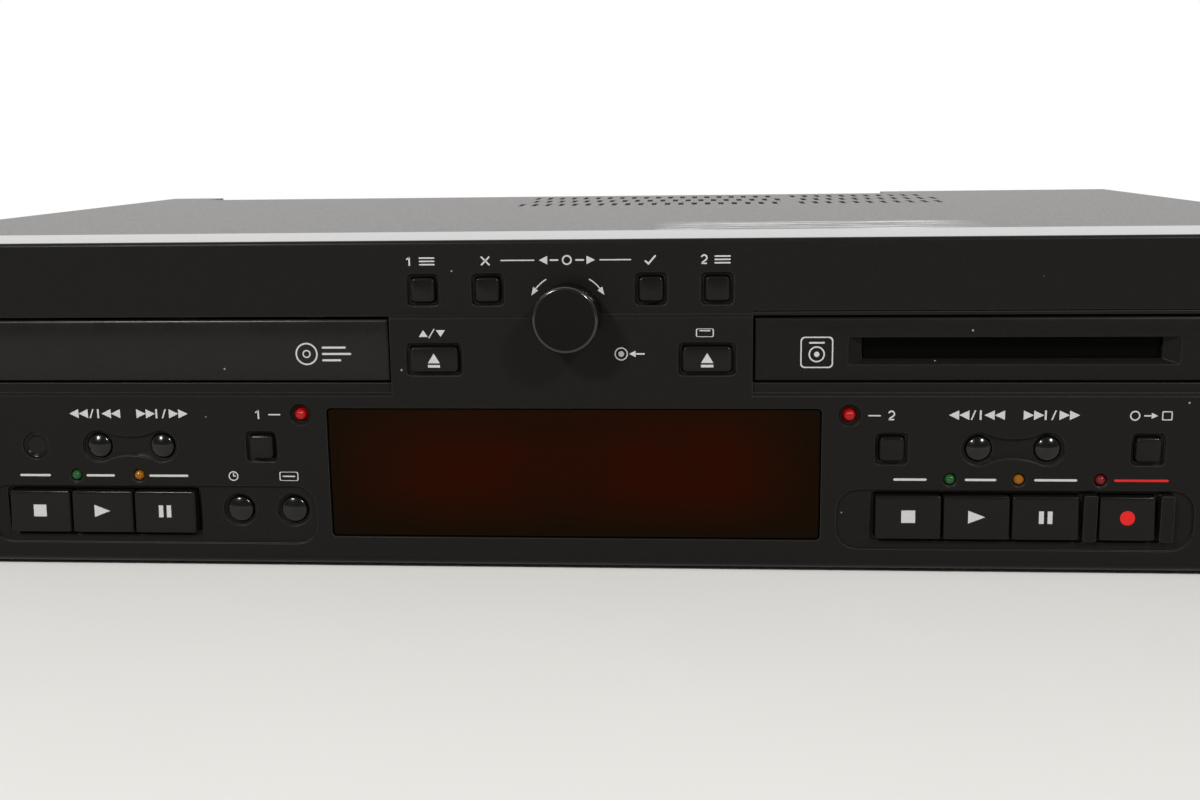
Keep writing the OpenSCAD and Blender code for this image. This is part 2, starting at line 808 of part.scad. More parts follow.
module rear_panel() {
    color(steel_black)
    difference() {
        block([-chassis_half, chassis_half], [rear_y, body_d],
            [foot_h, cover_z - cover_t - ledge_drop - 0.2]);
        for (x = phono_x)
            for (z = phono_z)
                if (x < phono_x[3])
                    bar_y(x, z, phono_r + 0.2, rear_y - cut, body_d + cut);
        bar_y(phono_x[3], phono_z[0], phono_r + 0.2, rear_y - cut, body_d + cut);
        slab(phono_x[3], phono_z[1], optical_w + 0.4, optical_w + 0.4, 0.3, rear_y - cut, body_d + cut);
        slab(inlet_x, inlet_z, inlet_w + 2 * inlet_wall + 0.4, inlet_h + 2 * inlet_wall + 0.4, 1,
            rear_y - cut, body_d + cut);
        for (x = rear_screw_x)
            bar_y(x, rear_screw_z, screw_hole_r, rear_y - cut, body_d + cut);
        for (i = [0:11])
            block([-110 + i * 9, -106 + i * 9], [rear_y - cut, body_d + cut], [44, 70]);
    }
}

module feet() {
    color(rubber_black)
        for (p = foot_places)
            difference() {
                union() {
                    translate([p[0], p[1], 0])
                        cylinder(h = foot_h - 1, r1 = foot_r - 1, r2 = foot_r);
                    bar_z(p[0], p[1], foot_r, foot_h - 1, foot_h);
                }
                bar_z(p[0], p[1], 4, -cut, foot_h - 1.6);
            }
}

// Pan-head screw along X, its head outside at x0
module side_screw(x0, y, z, l) {
    difference() {
        bar_x(y, z, head_r, x0, x0 + head_h);
        block([x0 + head_h - 0.8, x0 + head_h + cut], [y - 0.4, y + 0.4], [z - 2, z + 2]);
        block([x0 + head_h - 0.8, x0 + head_h + cut], [y - 2, y + 2], [z - 0.4, z + 0.4]);
    }
    bar_x(y, z, screw_r, x0 - l, x0 + 0.1);
}

module casing_screws() {
    color(screw_black) {
        mirrored() {
            for (p = ear_screws)
                side_screw(half_w + ear_t, p[0], p[1], ear_t + 7);
            for (p = cover_screws)
                side_screw(half_w, p[0], p[1], 7);
        }
        for (x = rear_screw_x)
            difference() {
                union() {
                    bar_y(x, rear_screw_z, head_r, body_d, body_d + head_h);
                    bar_y(x, rear_screw_z, screw_r, body_d - 6, body_d + 0.1);
                }
                block([x - 2, x + 2], [body_d + 1, body_d + 3], [rear_screw_z - 0.4, rear_screw_z + 0.4]);
                block([x - 0.4, x + 0.4], [body_d + 1, body_d + 3], [rear_screw_z - 2, rear_screw_z + 2]);
            }
    }
}

// ---- Boards and sockets ----

switch_places = concat(
    [for (p = square_places) [p[0], p[1]]],
    [for (p = wide_places) [p[0], p[1]]],
    [for (x = concat(player_skip_x, recorder_skip_x)) [x, skip_z]],
    [for (x = concat(player_key_x, recorder_key_x, [record_x])) [x, key_z]],
    [for (x = round_x) [x, round_z]],
    [[power_x, skip_z]]);

board_outline = [
    [-192, board_z0], [204, board_z0], [204, board_z1], [44.5, board_z1], [44.5, 85.5],
    [-44.5, 85.5], [-44.5, board_z1], [-210, board_z1], [-210, 26], [-192, 26]
];

module front_board() {
    difference() {
        union() {
            color(board_green)
                translate([0, board_y + board_t, 0])
                    rotate([90, 0, 0])
                        linear_extrude(board_t)
                            polygon(board_outline);
            color(motor_steel)
                for (p = switch_places)
                    block([p[0] - switch_w / 2, p[0] + switch_w / 2], [switch_y, board_y],
                        [p[1] - switch_w / 2, p[1] + switch_w / 2]);
            color(motor_steel) {
                block([-6.5, 6.5], [panel_t + 0.6, board_y], [jog_z - 6.5, jog_z + 6.5]);
                bar_y(0, jog_z, bush_r, 0, panel_t + 1);
                for (x = [level_x, input_x])
                    block([x - 5, x + 5], [panel_t + 0.6, board_y], [key_z - 5.5, key_z + 5.5]);
                block([sensor_x - 3, sensor_x + 3], [panel_t + flange_t + 0.4, board_y],
                    [skip_z - 4, skip_z + 3]);
            }
        }
        bar_y(0, jog_z, jog_shaft_r + shaft_gap, -cut, board_y - 0.3);
        for (x = [level_x, input_x])
            bar_y(x, key_z, pot_shaft_r + shaft_gap, -cut, board_y - 0.3);
    }
}

module main_board() {
    color(board_green)
        block(main_x, main_y, [main_z, main_z + board_t]);
    color(key_black) {
        for (p = [[-70, 27], [-70, 50], [-48, 27], [-48, 50], [-26, 38]])
            bar_z(p[0], main_y[0] + p[1], 8, main_z + board_t, main_z + 26);
        for (p = [[20, 22], [60, 22], [100, 22], [140, 22], [20, 50], [60, 50], [100, 50]])
            block([p[0], p[0] + 22], [main_y[0] + p[1], main_y[0] + p[1] + 18],
                [main_z + board_t, main_z + board_t + 3]);
    }
    color(motor_steel)
        for (i = [0:4])
            block([-75 + i * 7, -72 + i * 7], [main_y[1] - 34, main_y[1] - 9],
                [main_z + board_t, main_z + 34]);
}

module transformer() {
    color(motor_steel)
        block([core[0], core[1]], [core[2], core[3]], [floor_z, floor_z + 14]);
    color(motor_steel)
        block([core[0] + 4, core[1] - 4], [core[2], core[3]], [floor_z + 14, floor_z + core_h]);
    color([0.5, 0.3, 0.12])
        block([core[0] + 14, core[1] - 14], [core[2] - coil_out, core[3] + coil_out],
            [floor_z + 16, floor_z + core_h - 6]);
}

// Phono socket: an outer sleeve, with its contact hole in an insulating core
module phono(x, z) {
    difference() {
        bar_y(x, z, phono_r, rear_y - 0.5, body_d + socket_out);
        bar_y(x, z, 1.6, body_d - 2, body_d + socket_out + cut);
    }
}

module rear_sockets() {
    color(key_black)
        block(phono_block, [rear_y - phono_block_d, rear_y - 0.2],
            [main_z + board_t, phono_z[1] + 8]);
    color(motor_steel) {
        for (x = [phono_x[0], phono_x[1], phono_x[2]])
            for (z = phono_z)
                phono(x, z);
        phono(phono_x[3], phono_z[0]);
    }
    color(key_black) {
        slab(phono_x[3], phono_z[1], optical_w, optical_w, 0.2, rear_y - 0.5, body_d + 1);
        difference() {
            union() {
                slab(inlet_x, inlet_z, inlet_w + 2 * inlet_wall, inlet_h + 2 * inlet_wall, 0.8,
                    body_d - inlet_d - 3, body_d + 0.5);
                slab(inlet_x, inlet_z, inlet_w + 2 * inlet_flange, inlet_h + 2 * inlet_flange, 1.6,
                    body_d, body_d + 1.6);
            }
            slab(inlet_x, inlet_z, inlet_w, inlet_h, 0.8, body_d - inlet_d, body_d + 3);
        }
    }
    color(motor_steel)
        for (p = [[-7, -2], [0, 2], [7, -2]])
            block([inlet_x + p[0] - 1, inlet_x + p[0] + 1], [body_d - inlet_d - 0.5, body_d - 3],
                [inlet_z + p[1] - 2, inlet_z + p[1] + 2]);
}

module phones_jack() {
    color(key_black)
    difference() {
        union() {
            bar_y(phones_x, key_z, phones_barrel_r, face_y - 1.4, panel_t + 0.6);
            block([phones_x - 7.5, phones_x + 7.5], [panel_t + 0.3, phones_l], [key_z - 8, key_z + 8]);
            bar_y(phones_x, key_z, phones_barrel_r + 1.4, face_y - 1.4, face_y);
        }
        bar_y(phones_x, key_z, phones_bore_r, face_y - 2, phones_l - 2);
    }
}

// ---- Disc mechanism, drawn round the middle of its tray ----

module at_tray() {
    translate([-deck_x, 0, 0])
        children();
}

module tray_frame() {
    at_tray()
    color(moulding_grey)
    difference() {
        union() {
            block([-frame_half - frame_wall, frame_half + frame_wall], frame_y,
                [frame_z, frame_z + frame_floor_t]);
            mirrored() {
                block([frame_half, frame_half + frame_wall], frame_y, [frame_z, frame_top]);
                block([frame_half - 3, frame_half + 1], frame_y, [tray_z - 2.5, tray_z - slide_gap]);
                block([frame_half - 2.5, frame_half + 1], [20, 46],
                    [tray_z + tray_t + slide_gap, tray_z + tray_t + 2]);
                block([frame_half - 2.5, frame_half + 1], [110, frame_y[1]],
                    [tray_z + tray_t + slide_gap, tray_z + tray_t + 2]);
                block([traverse_half + 1.2, traverse_half + 9], [hinge_y - 4, hinge_y + 4],
                    [frame_z, hinge_z + 4]);
            }
            for (x = [-56, 56])
                for (y = [22, 160])
                    bar_z(x, y, 4.5, floor_z, frame_z + 1);
            bar_z(gear_x, gear_y, gear_pin_r, frame_z, gear_top - 0.4);
            bar_z(gear_x, gear_y, 3.6, frame_z, wheel_z[0] - 0.2);
        }
        block([-traverse_half - 5, traverse_half + 5], [46, hinge_y - 6],
            [frame_z - cut, frame_z + frame_floor_t + cut]);
        block([-traverse_half - 1, traverse_half + 1], [46, hinge_y + 6],
            [frame_z - cut, frame_z + frame_floor_t + cut]);
        mirrored()
            bar_x(hinge_y, hinge_z, hinge_r + shaft_gap, traverse_half, traverse_half + 7);
        bar_z(motor_x, motor_y, 3, frame_z - cut, frame_z + 4);
    }
}

module disc_tray() {
    at_tray()
    color(plastic_black)
    difference() {
        union() {
            block([-tray_w / 2, tray_w / 2], [front_t, tray_back], [tray_z, tray_z + tray_t]);
            difference() {
                block([rack_x_in - 0.8, rack_x_in + 5], [gear_y - 8, tray_back - 1], [rack_z0, tray_z + 1]);
                for (k = [-3:ceil(tray_l / rack_pitch)])
                    translate([rack_x_in, gear_y + k * rack_pitch, rack_z0 - cut])
                        linear_extrude(tray_z - rack_z0 + cut)
                            polygon([[-1.2, -1.28], [-1.2, 1.28], [1.2, 0.55], [1.2, -0.55]]);
            }
        }
        bar_z(0, disc_y, disc_well_r, well_z, tray_z + tray_t + cut);
        bar_z(0, disc_y, 40.5, well_z - 0.6, tray_z + tray_t + cut);
        bar_z(0, disc_y, turntable_r + 5, tray_z - cut, tray_z + tray_t + cut);
        block([-turntable_r - 5, turntable_r + 5], [disc_y, tray_back + cut],
            [tray_z - cut, tray_z + tray_t + cut]);
    }
}

module tray_front() {
    at_tray()
    color(plastic_black) {
        across(-tray_front_w / 2, tray_front_w / 2, plate_section(front_z0, front_z1, front_t));
    }
}

module loading_gear() {
    at_tray()
    color(moulding_white)
    difference() {
        union() {
            translate([gear_x, gear_y, wheel_z[0]])
                linear_extrude(wheel_z[1] - wheel_z[0])
                    polygon(gear(wheel_m, wheel_n));
            translate([gear_x, gear_y, wheel_z[1] - 0.2])
                linear_extrude(gear_top - wheel_z[1] + 0.2)
                    polygon(gear(pinion_m, pinion_n));
        }
        bar_z(gear_x, gear_y, gear_pin_r + shaft_gap, wheel_z[0] - cut, gear_top + cut);
    }
}

module loading_motor() {
    at_tray()
    color(motor_steel) {
        bar_z(motor_x, motor_y, motor_r, frame_z - motor_l, frame_z);
        bar_z(motor_x, motor_y, motor_shaft_r, frame_z - cut, wheel_z[1] + 0.4);
    }
}

module motor_pinion() {
    at_tray()
    color(moulding_white)
    translate([motor_x, motor_y, wheel_z[0]])
        difference() {
            rotate([0, 0, motor_angle + 180 + 180 / motor_n])
                linear_extrude(wheel_z[1] - wheel_z[0])
                    polygon(gear(wheel_m, motor_n));
            bar_z(0, 0, motor_shaft_r + shaft_gap, -cut, 5);
        }
}

module disc_traverse() {
    at_tray()
    color(moulding_grey)
    difference() {
        union() {
            block([-traverse_half, traverse_half], [disc_y + 8, traverse_y[1]], traverse_z);
            block([-28, 28], [traverse_y[0], disc_y + 9], traverse_z);
            block([-traverse_half, traverse_half], [traverse_y[1] - 4, hinge_y + 2],
                [hinge_z - 2, traverse_z[1]]);
            mirrored()
                bar_x(hinge_y, hinge_z, hinge_r, traverse_half - 1, traverse_half + 6.6);
            bar_z(0, disc_y, 11, traverse_z[0] - 10, traverse_z[1] + 1);
            mirrored() {
                for (y = [disc_y + 9, 144])
                    block([rod_x_off - 3, rod_x_off + 3], [y, y + 4], [traverse_z[0], rod_z + 2.4]);
                bar_y(rod_x_off, rod_z, rod_r, disc_y + 10, 147);
            }
        }
        bar_z(0, disc_y, motor_shaft_r + shaft_gap, traverse_z[0] - 6, traverse_z[1] + 2);
        block([-15, 15], [disc_y + 18, 142], [traverse_z[0] - cut, traverse_z[1] + cut]);
    }
}

module disc_turntable() {
    at_tray()
    color(motor_steel)
    translate([0, disc_y, 0]) {
        bar_z(0, 0, turntable_r, disc_z - 2, disc_z);
        translate([0, 0, disc_z])
            cylinder(h = 2, r1 = 7.4, r2 = 6);
        bar_z(0, 0, 4, traverse_z[1] + 1.3, disc_z - 2);
        bar_z(0, 0, motor_shaft_r, traverse_z[0] - 5, disc_z - 2);
    }
}

module disc_sled() {
    lens_y = disc_y + lens_rest;
    at_tray()
    difference() {
        union() {
            color(key_black) {
                block([-16, 16], [lens_y - 7, lens_y + 13], [traverse_z[1] + 0.4, tray_z - 0.6]);
                block([-14, 14], [lens_y - 6, lens_y + 8], [tray_z - 0.7, disc_z - 2]);
                mirrored()
                    block([14, rod_x_off + 2.6], [lens_y - 6, lens_y + 12],
                        [traverse_z[1] + 0.4, rod_z + 2.2]);
            }
            color(glass_grey)
                bar_z(0, lens_y, 2.4, disc_z - 2.1, disc_z - 1.3);
        }
        mirrored()
            bar_y(rod_x_off, rod_z, rod_r + shaft_gap, lens_y - 8, lens_y + 14);
    }
}

module clamp_bridge() {
    at_tray()
    color(motor_steel)
    difference() {
        union() {
            block([-frame_half - frame_wall, frame_half + frame_wall], bridge_y,
                [frame_top, frame_top + bridge_t]);
            for (s = [-1, 1])
                block([-frame_half, frame_half], [disc_y + s * 17 - 1, disc_y + s * 17 + 1],
                    [frame_top + bridge_t - 0.1, frame_top + 3]);
        }
        bar_z(0, disc_y, clamp_r + clamp_gap, frame_top - cut, frame_top + 2 * bridge_t);
    }
}

module disc_clamper() {
    at_tray()
    color(plastic_black)
    difference() {
        union() {
            bar_z(0, disc_y, clamp_r, disc_z + 2.2, frame_top + bridge_t + 1);
            bar_z(0, disc_y, clamp_r + 3.5, frame_top + bridge_t + 0.2, frame_top + bridge_t + 1.6);
        }
        for (a = [0:60:300])
            translate([0, disc_y, 0])
                rotate([0, 0, a])
                    bar_z(7, 0, 1.6, frame_top + bridge_t, frame_top + bridge_t + 3);
    }
}

// ---- Cartridge mechanism, drawn round the middle of its slot ----

module at_slot() {
    translate([deck_x, 0, 0])
        children();
}

module slot_frame() {
    at_slot()
    color(zinc_grey)
    difference() {
        union() {
            block([-slot_frame_half, slot_frame_half], slot_frame_y, [slot_frame_z[0], slot_frame_z[0] + 2]);
            mirrored()
                block([slot_frame_half - slot_frame_wall, slot_frame_half], slot_frame_y, slot_frame_z);
            for (x = [-38, 38])
                for (y = [22, 110])
                    bar_z(x, y, 4, floor_z, slot_frame_z[0] + 1);
            bar_z(0, spindle_y, 10, slot_frame_z[0], slot_frame_z[0] + 8);
            mirrored() {
                for (y = [58, 112])
                    block([head_rod_x - 2.4, head_rod_x + 2.4], [y, y + 3], [slot_frame_z[0], head_rod_z + 2]);
                bar_y(head_rod_x, head_rod_z, head_rod_r, 59, 114);
            }
        }
        block([-13, 13], [spindle_y + 16, 110], [slot_frame_z[0] - cut, slot_frame_z[0] + 3]);
        bar_z(0, spindle_y, 1 + shaft_gap, slot_frame_z[0] + 2, slot_frame_z[0] + 9);
        mirrored()
            for (y = pin_y)
                block([slot_frame_half - 4, slot_frame_half + cut], [y - pin_r - 0.2, y + pin_r + 0.2],
                    [slot_z - holder_travel - pin_r - 0.3, slot_z + pin_r + 0.3]);
    }
}

module cartridge_holder() {
    outer_w = holder_w + 2 * holder_t;
    at_slot()
    color(motor_steel)
    difference() {
        union() {
            block([-outer_w / 2, outer_w / 2], holder_y,
                [slot_z - holder_h / 2 - holder_t, slot_z + holder_h / 2 + holder_t]);
            mirrored()
                for (y = pin_y)
                    bar_x(y, slot_z, pin_r, outer_w / 2 - 0.2, slot_frame_half - 0.4);
        }
        block([-holder_w / 2, holder_w / 2], [holder_y[0] - cut, holder_y[1] + cut],
            [slot_z - holder_h / 2, slot_z + holder_h / 2]);
        block([-14, 14], [spindle_y - 14, holder_y[1] + cut], [slot_z - holder_h, slot_z]);
        block([-9, 9], [spindle_y + 8, holder_y[1] + cut], [slot_z, slot_z + holder_h]);
    }
}

module slot_flap() {
    at_slot()
    color(plastic_black) {
        block([-flap_half, flap_half], [panel_t + 0.5, panel_t + 1.6],
            [slot_z - slot_h / 2 - 0.5, flap_axis[1]]);
        bar_x(flap_axis[0], flap_axis[1], 1.2, -flap_half, flap_half);
        bar_x(flap_axis[0], flap_axis[1], 1, -flap_half - 3, flap_half + 3);
    }
}

module cartridge_turntable() {
    top = slot_z - holder_h / 2 - holder_t + 0.4;
    at_slot()
    color(motor_steel)
    translate([0, spindle_y, 0]) {
        bar_z(0, 0, 9.5, top - 3, top - 1);
        bar_z(0, 0, 4, top - 1.1, top);
        bar_z(0, 0, 1, slot_frame_z[0] + 3, top - 2);
    }
}

module recorder_sled() {
    y0 = spindle_y + 17.5;
    z0 = slot_frame_z[0] + 2.4;
    arm_y = holder_y[1] + 3.6;
    arm_z = slot_z + holder_h / 2 + holder_t + 1.4;
    at_slot()
    difference() {
        union() {
            color(key_black) {
                block([-12, 12], [y0, y0 + 16], [z0, slot_z - holder_h / 2 - holder_travel - 1.4]);
                mirrored()
                    block([10, head_rod_x + 2], [y0 + 1, y0 + 15], [z0, head_rod_z + 2]);
            }
            color(glass_grey)
                bar_z(0, y0 + 5, 2, slot_z - holder_h / 2 - holder_travel - 1.6,
                    slot_z - holder_h / 2 - holder_travel - 0.8);
            color(motor_steel) {
                block([-5, 5], [y0 + 15, arm_y + 2], [z0, z0 + 2]);
                block([-5, 5], [arm_y, arm_y + 2], [z0, arm_z + 1]);
                block([-5, 5], [y0 + 2, arm_y + 1], [arm_z, arm_z + 1]);
                block([-3, 3], [y0 + 2, y0 + 8], [arm_z - 1, arm_z + 0.5]);
            }
        }
        mirrored()
            bar_y(head_rod_x, head_rod_z, head_rod_r + shaft_gap, y0 - 2, y0 + 18);
    }
}

// ---- Buttons, keys and knobs ----

// Flange that stops a button behind the wall, and the plunger that works its switch
module button_back(x, z, w, h) {
    slab(x, z, w, h, 0.6, flange_y, flange_y + flange_t);
    bar_y(x, z, plunger_r, flange_y + flange_t - 0.1, plunger_y);
}

module square_button(x, z, w, h, y) {
    color(key_black) {
        slab(x, z, w, h, 0.7, y - button_out, flange_y + 0.1);
        button_back(x, z, w + 2, h + 2);
    }
}

module round_button(x, z, r, y) {
    dome = 0.5;
    color(key_black) {
        bar_y(x, z, r, y - button_out + dome, flange_y + 0.1);
        cone_y(x, z, r - 1, r, y - button_out, y - button_out + dome);
        button_back(x, z, 2 * r + 1.6, 2 * r + 1.6);
    }
}

// Key with a face that leans out towards its lower edge
module transport_key(x, w) {
    color(key_black) {
        across(x - w / 2, x + w / 2, concat(
            [[flange_y + 0.1, key_z - key_h / 2]],
            arc(face_y - key_out + 1, key_z - key_h / 2 + 1, 1, 270, 180, 3),
            [[face_y - key_out + 0.7, key_z + key_h / 2 - 0.6], [face_y - key_out + 1.2, key_z + key_h / 2]],
            [[flange_y + 0.1, key_z + key_h / 2]]));
        button_back(x, key_z, w - 0.2, key_h + 2);
    }
}

module player_menu_button() square_button(-menu_x, menu_z, square_w, square_w, 0);
module recorder_menu_button() square_button(menu_x, menu_z, square_w, square_w, 0);
module no_button() square_button(-answer_x, menu_z, square_w, square_w, 0);
module yes_button() square_button(answer_x, menu_z, square_w, square_w, 0);
module tray_button() square_button(-open_x, open_z, wide_w, wide_h, face_y);
module eject_button() square_button(open_x, open_z, wide_w, wide_h, face_y);
module player_select_button() square_button(-select_x, skip_z, square_w, square_w, face_y);
module recorder_select_button() square_button(select_x, skip_z, square_w, square_w, face_y);
module dubbing_button() square_button(dubbing_x, skip_z, square_w, square_w, face_y);
module power_button() square_button(power_x, skip_z, power_w, power_h, face_y);
module player_back_button() round_button(player_skip_x[0], skip_z, skip_r, face_y);
module player_ahead_button() round_button(player_skip_x[1], skip_z, skip_r, face_y);
module recorder_back_button() round_button(recorder_skip_x[0], skip_z, skip_r, face_y);
module recorder_ahead_button() round_button(recorder_skip_x[1], skip_z, skip_r, face_y);
module time_button() round_button(round_x[0], round_z, round_r, zone_y);
module display_button() round_button(round_x[1], round_z, round_r, zone_y);
module player_stop_key() transport_key(player_key_x[0], key_w);
module player_play_key() transport_key(player_key_x[1], key_w);
module player_pause_key() transport_key(player_key_x[2], key_w);
module recorder_stop_key() transport_key(recorder_key_x[0], key_w);
module recorder_play_key() transport_key(recorder_key_x[1], key_w);
module recorder_pause_key() transport_key(recorder_key_x[2], key_w);
module record_key() transport_key(record_x, record_w);

module jog_shaft() {
    color(motor_steel)
        bar_y(0, jog_z, jog_shaft_r, jog_front + 3, board_y - 0.4 - press);
}

module jog_knob() {
    color(key_black)
    difference() {
        union() {
            bar_y(0, jog_z, jog_r, jog_front + 1, jog_back);
            cone_y(0, jog_z, jog_r - 1, jog_r, jog_front, jog_front + 1);
        }
        bar_y(0, jog_z, jog_shaft_r + shaft_gap, jog_front + 2.9, jog_back + cut);
    }
}

// Knob on the shaft of a rotary control
module level_knob(x, r) {
    color(key_black) {
        bar_y(x, key_z, r, level_back - level_l + 0.8, level_back);
        cone_y(x, key_z, r - 0.8, r, level_back - level_l, level_back - level_l + 0.8);
        bar_y(x, key_z, pot_shaft_r, level_back - 1, board_y - 0.5);
    }
}

module phones_knob() level_knob(level_x, level_r);
module input_knob() level_knob(input_x, input_r);

// ---- Placing ----

origin_y = -(jog_front + body_d + socket_out) / 2;

module placed() {
    translate([0, origin_y, 0])
        children();
}

placed() fascia();
placed() slot_plate();
placed() display_window();
placed() display_module();
placed() sensor_window();
placed() indicator_lights();
placed() rack_ears();
placed() top_cover();
placed() bottom_chassis();
placed() rear_panel();
placed() feet();
placed() casing_screws();
placed() front_board();
placed() main_board();
placed() transformer();
placed() rear_sockets();
placed() phones_jack();
placed() tray_frame();
placed() disc_tray();
placed() tray_front();
placed() loading_gear();
placed() loading_motor();
placed() motor_pinion();
placed() disc_traverse();
placed() disc_turntable();
placed() disc_sled();
placed() clamp_bridge();
placed() disc_clamper();
placed() slot_frame();
placed() cartridge_holder();
placed() slot_flap();
placed() cartridge_turntable();
placed() recorder_sled();
placed() player_menu_button();
placed() recorder_menu_button();
placed() no_button();
placed() yes_button();
placed() tray_button();
placed() eject_button();
placed() player_select_button();
placed() recorder_select_button();
placed() player_back_button();
placed() player_ahead_button();
placed() recorder_back_button();
placed() recorder_ahead_button();
placed() time_button();
placed() display_button();
placed() dubbing_button();
placed() player_stop_key();
placed() player_play_key();
placed() player_pause_key();
placed() recorder_stop_key();
placed() recorder_play_key();
placed() recorder_pause_key();
placed() record_key();
placed() jog_shaft();
placed() jog_knob();
placed() power_button();
placed() phones_knob();
placed() input_knob();
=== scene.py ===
"""A rack-mount minidisc deck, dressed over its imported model.

Run as a script: main() registers the operators, calls them in order and leaves a
scene that is ready to render. Places are given as on a drawing of the front panel,
in millimetres: x to the right, y into the deck from the panel's face, z up.
"""

import math

import bmesh
import bpy
import numpy as np
from mathutils import Matrix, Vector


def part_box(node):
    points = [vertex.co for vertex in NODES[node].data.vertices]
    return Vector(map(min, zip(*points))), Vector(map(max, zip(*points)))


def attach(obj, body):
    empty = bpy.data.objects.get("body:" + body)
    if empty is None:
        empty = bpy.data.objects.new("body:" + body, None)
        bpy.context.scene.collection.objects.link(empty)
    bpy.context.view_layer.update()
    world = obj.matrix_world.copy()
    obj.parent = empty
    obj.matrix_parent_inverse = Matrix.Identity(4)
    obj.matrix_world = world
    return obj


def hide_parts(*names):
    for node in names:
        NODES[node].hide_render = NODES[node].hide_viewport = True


bl_info = {
    "name": "Minidisc Deck",
    "version": (1, 0, 0),
    "blender": (4, 5, 0),
    "location": "3D View > Sidebar > Deck",
    "description": "Dresses the packed model of a rack-mount minidisc deck",
    "category": "Object",
}

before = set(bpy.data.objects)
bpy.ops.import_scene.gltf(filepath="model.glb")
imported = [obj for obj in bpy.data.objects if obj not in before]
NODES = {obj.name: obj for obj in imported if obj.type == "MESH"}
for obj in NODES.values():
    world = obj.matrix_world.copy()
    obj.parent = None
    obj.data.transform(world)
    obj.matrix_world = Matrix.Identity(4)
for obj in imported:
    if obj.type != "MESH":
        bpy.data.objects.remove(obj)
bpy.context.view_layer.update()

MM = 0.001
PANEL_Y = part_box("rack_ears")[0].y

# Depths
FACE = -1.2  # the control face stands proud of the strip
ZONE = -0.4  # floor of the shallow zones round the keys
LIFT = 0.03  # ink above the surface it is printed on
CAP_OUT = 0.7  # a pushbutton's cap above the surface round it
FLANGE = 3.3  # front of the flange that holds a cap behind the panel
FLANGE_BACK = 4.3
BOW_EDGE = 0.2  # the bowed fronts at their foot and head
BOW = 0.6  # how far they stand out from there at mid height
RING_PROUD = 0.12  # insulators' rings above the ends of the phono sleeves

# Heights of the rows of controls and print
MENU_ROW = 76.0
OPEN_ROW = 57.8
SKIP_ROW = 34.1
KEY_ROW = 15.9
ROUND_ROW = 16.4
LIGHT_ROW = 42.9
STATUS_ROW = 25.9
LABEL_ROW = 83.5
SIGN_ROW = 43.0
SLOT_ROW = 60.1
PUSH_ROW = 59.2
JOG_ROW = 69.4
FRONTS = (51.8, 68.3)  # foot and head of the tray's front and of the slot's plate

# Distances from the middle
MENU_X = 38.4
ANSWER_X = 21.3
OPEN_X = 35.8
SELECT_X = 83.7
LIGHT_X = 72.7
DUBBING_X = 148.6
ROUND_X = (-91.0, -76.0)
SENSOR_X = -146.6
POWER_X = -199.0
LEVEL_X = -180.5
INPUT_X = 188.0
DECK_X = 113.7
PLAYER_KEYS = tuple(-146.6 + 17.6 * i for i in range(3))
RECORDER_KEYS = tuple(88.3 + 17.6 * i for i in range(3))
RECORD_X = 144.2

# Sockets at the back
INLET_X, INLET_ROW = -165.0, 42.0
PHONO_X = (70.0, 95.0, 120.0, 150.0)
PHONO_ROWS = (30.0, 52.0)

SHARP = 35.0  # degrees past which an edge keeps its crease


# ---------------------------------------------------------------- shapes


def at(points):
    """Panel millimetres to metres in the part's frame: scale, then shift in depth."""
    return np.asarray(points, float) * MM + (0.0, PANEL_Y, 0.0)


def outline(width, height, radius):
    """Ring of (x, z) round a rectangle with round corners, anticlockwise from the front.

    Each corner is an arc of six points: its centre plus radius times (cos a, sin a).
    """
    a = np.radians(np.linspace(0, 90, 6)[None, :] + np.array([0, 90, 180, 270])[:, None])
    side = np.array([[1, 1], [-1, 1], [-1, -1], [1, -1]], float)
    centre = side * (width / 2 - radius, height / 2 - radius)
    ring = centre[:, None, :] + radius * np.stack((np.cos(a), np.sin(a)), -1)
    return ring.reshape(-1, 2)


def circle(radius, around=48):
    """Ring of (x, z): radius times (cos a, sin a)."""
    a = np.linspace(0, 2 * math.pi, around, endpoint=False)
    return radius * np.stack((np.cos(a), np.sin(a)), -1)


def rounded(edge, front, steps=6):
    """A rounded edge's (inset, depth) pairs: edge (1 - sin a) and front + edge (1 - cos a)."""
    a = np.radians(np.linspace(0, 90, steps))
    return np.column_stack((edge * (1 - np.sin(a)), front + edge * (1 - np.cos(a))))


def rows_of(width, height, radius, profile, x=0.0, z=0.0):
    """Rows of rings for a shape whose outline shrinks with depth.

    Every profile entry is (inset, depth) or (inset, depth, lean): the ring is the outline
    drawn in by the inset, and its depth grows by lean times the height above the middle.
    """
    rows = []
    for inset, depth, *lean in profile:
        ring = outline(width - 2 * inset, height - 2 * inset, max(radius - inset, 0.05))
        depths = depth + sum(lean) * ring[:, 1]
        rows.append(np.column_stack((ring[:, 0] + x, depths, ring[:, 1] + z)))
    return np.stack(rows)


def turned(profile, x=0.0, z=0.0, around=48):
    """Rows of rings for a shape turned about a line into the panel: (radius, depth) pairs."""
    profile = np.asarray(profile, float)
    rings = profile[:, 0, None, None] * circle(1.0, around)
    depth = np.broadcast_to(profile[:, 1, None], rings.shape[:2])
    return np.stack((rings[..., 0] + x, depth, rings[..., 1] + z), -1)


def skin(rows, finish=0, first=True, last=True):
    """Part of a mesh over rows of rings: quads from row to row, and flat ends where asked."""
    count, around = rows.shape[:2]
    index = np.arange(count * around).reshape(count, around)
    a, b = index[:-1], index[1:]
    quads = np.stack((a, b, np.roll(b, -1, 1), np.roll(a, -1, 1)), -1).reshape(-1, 4)
    ends = []
    if first:
        ends.append(index[0])
    if last:
        ends.append(index[-1][::-1])
    return rows.reshape(-1, 3), quads, ends, finish


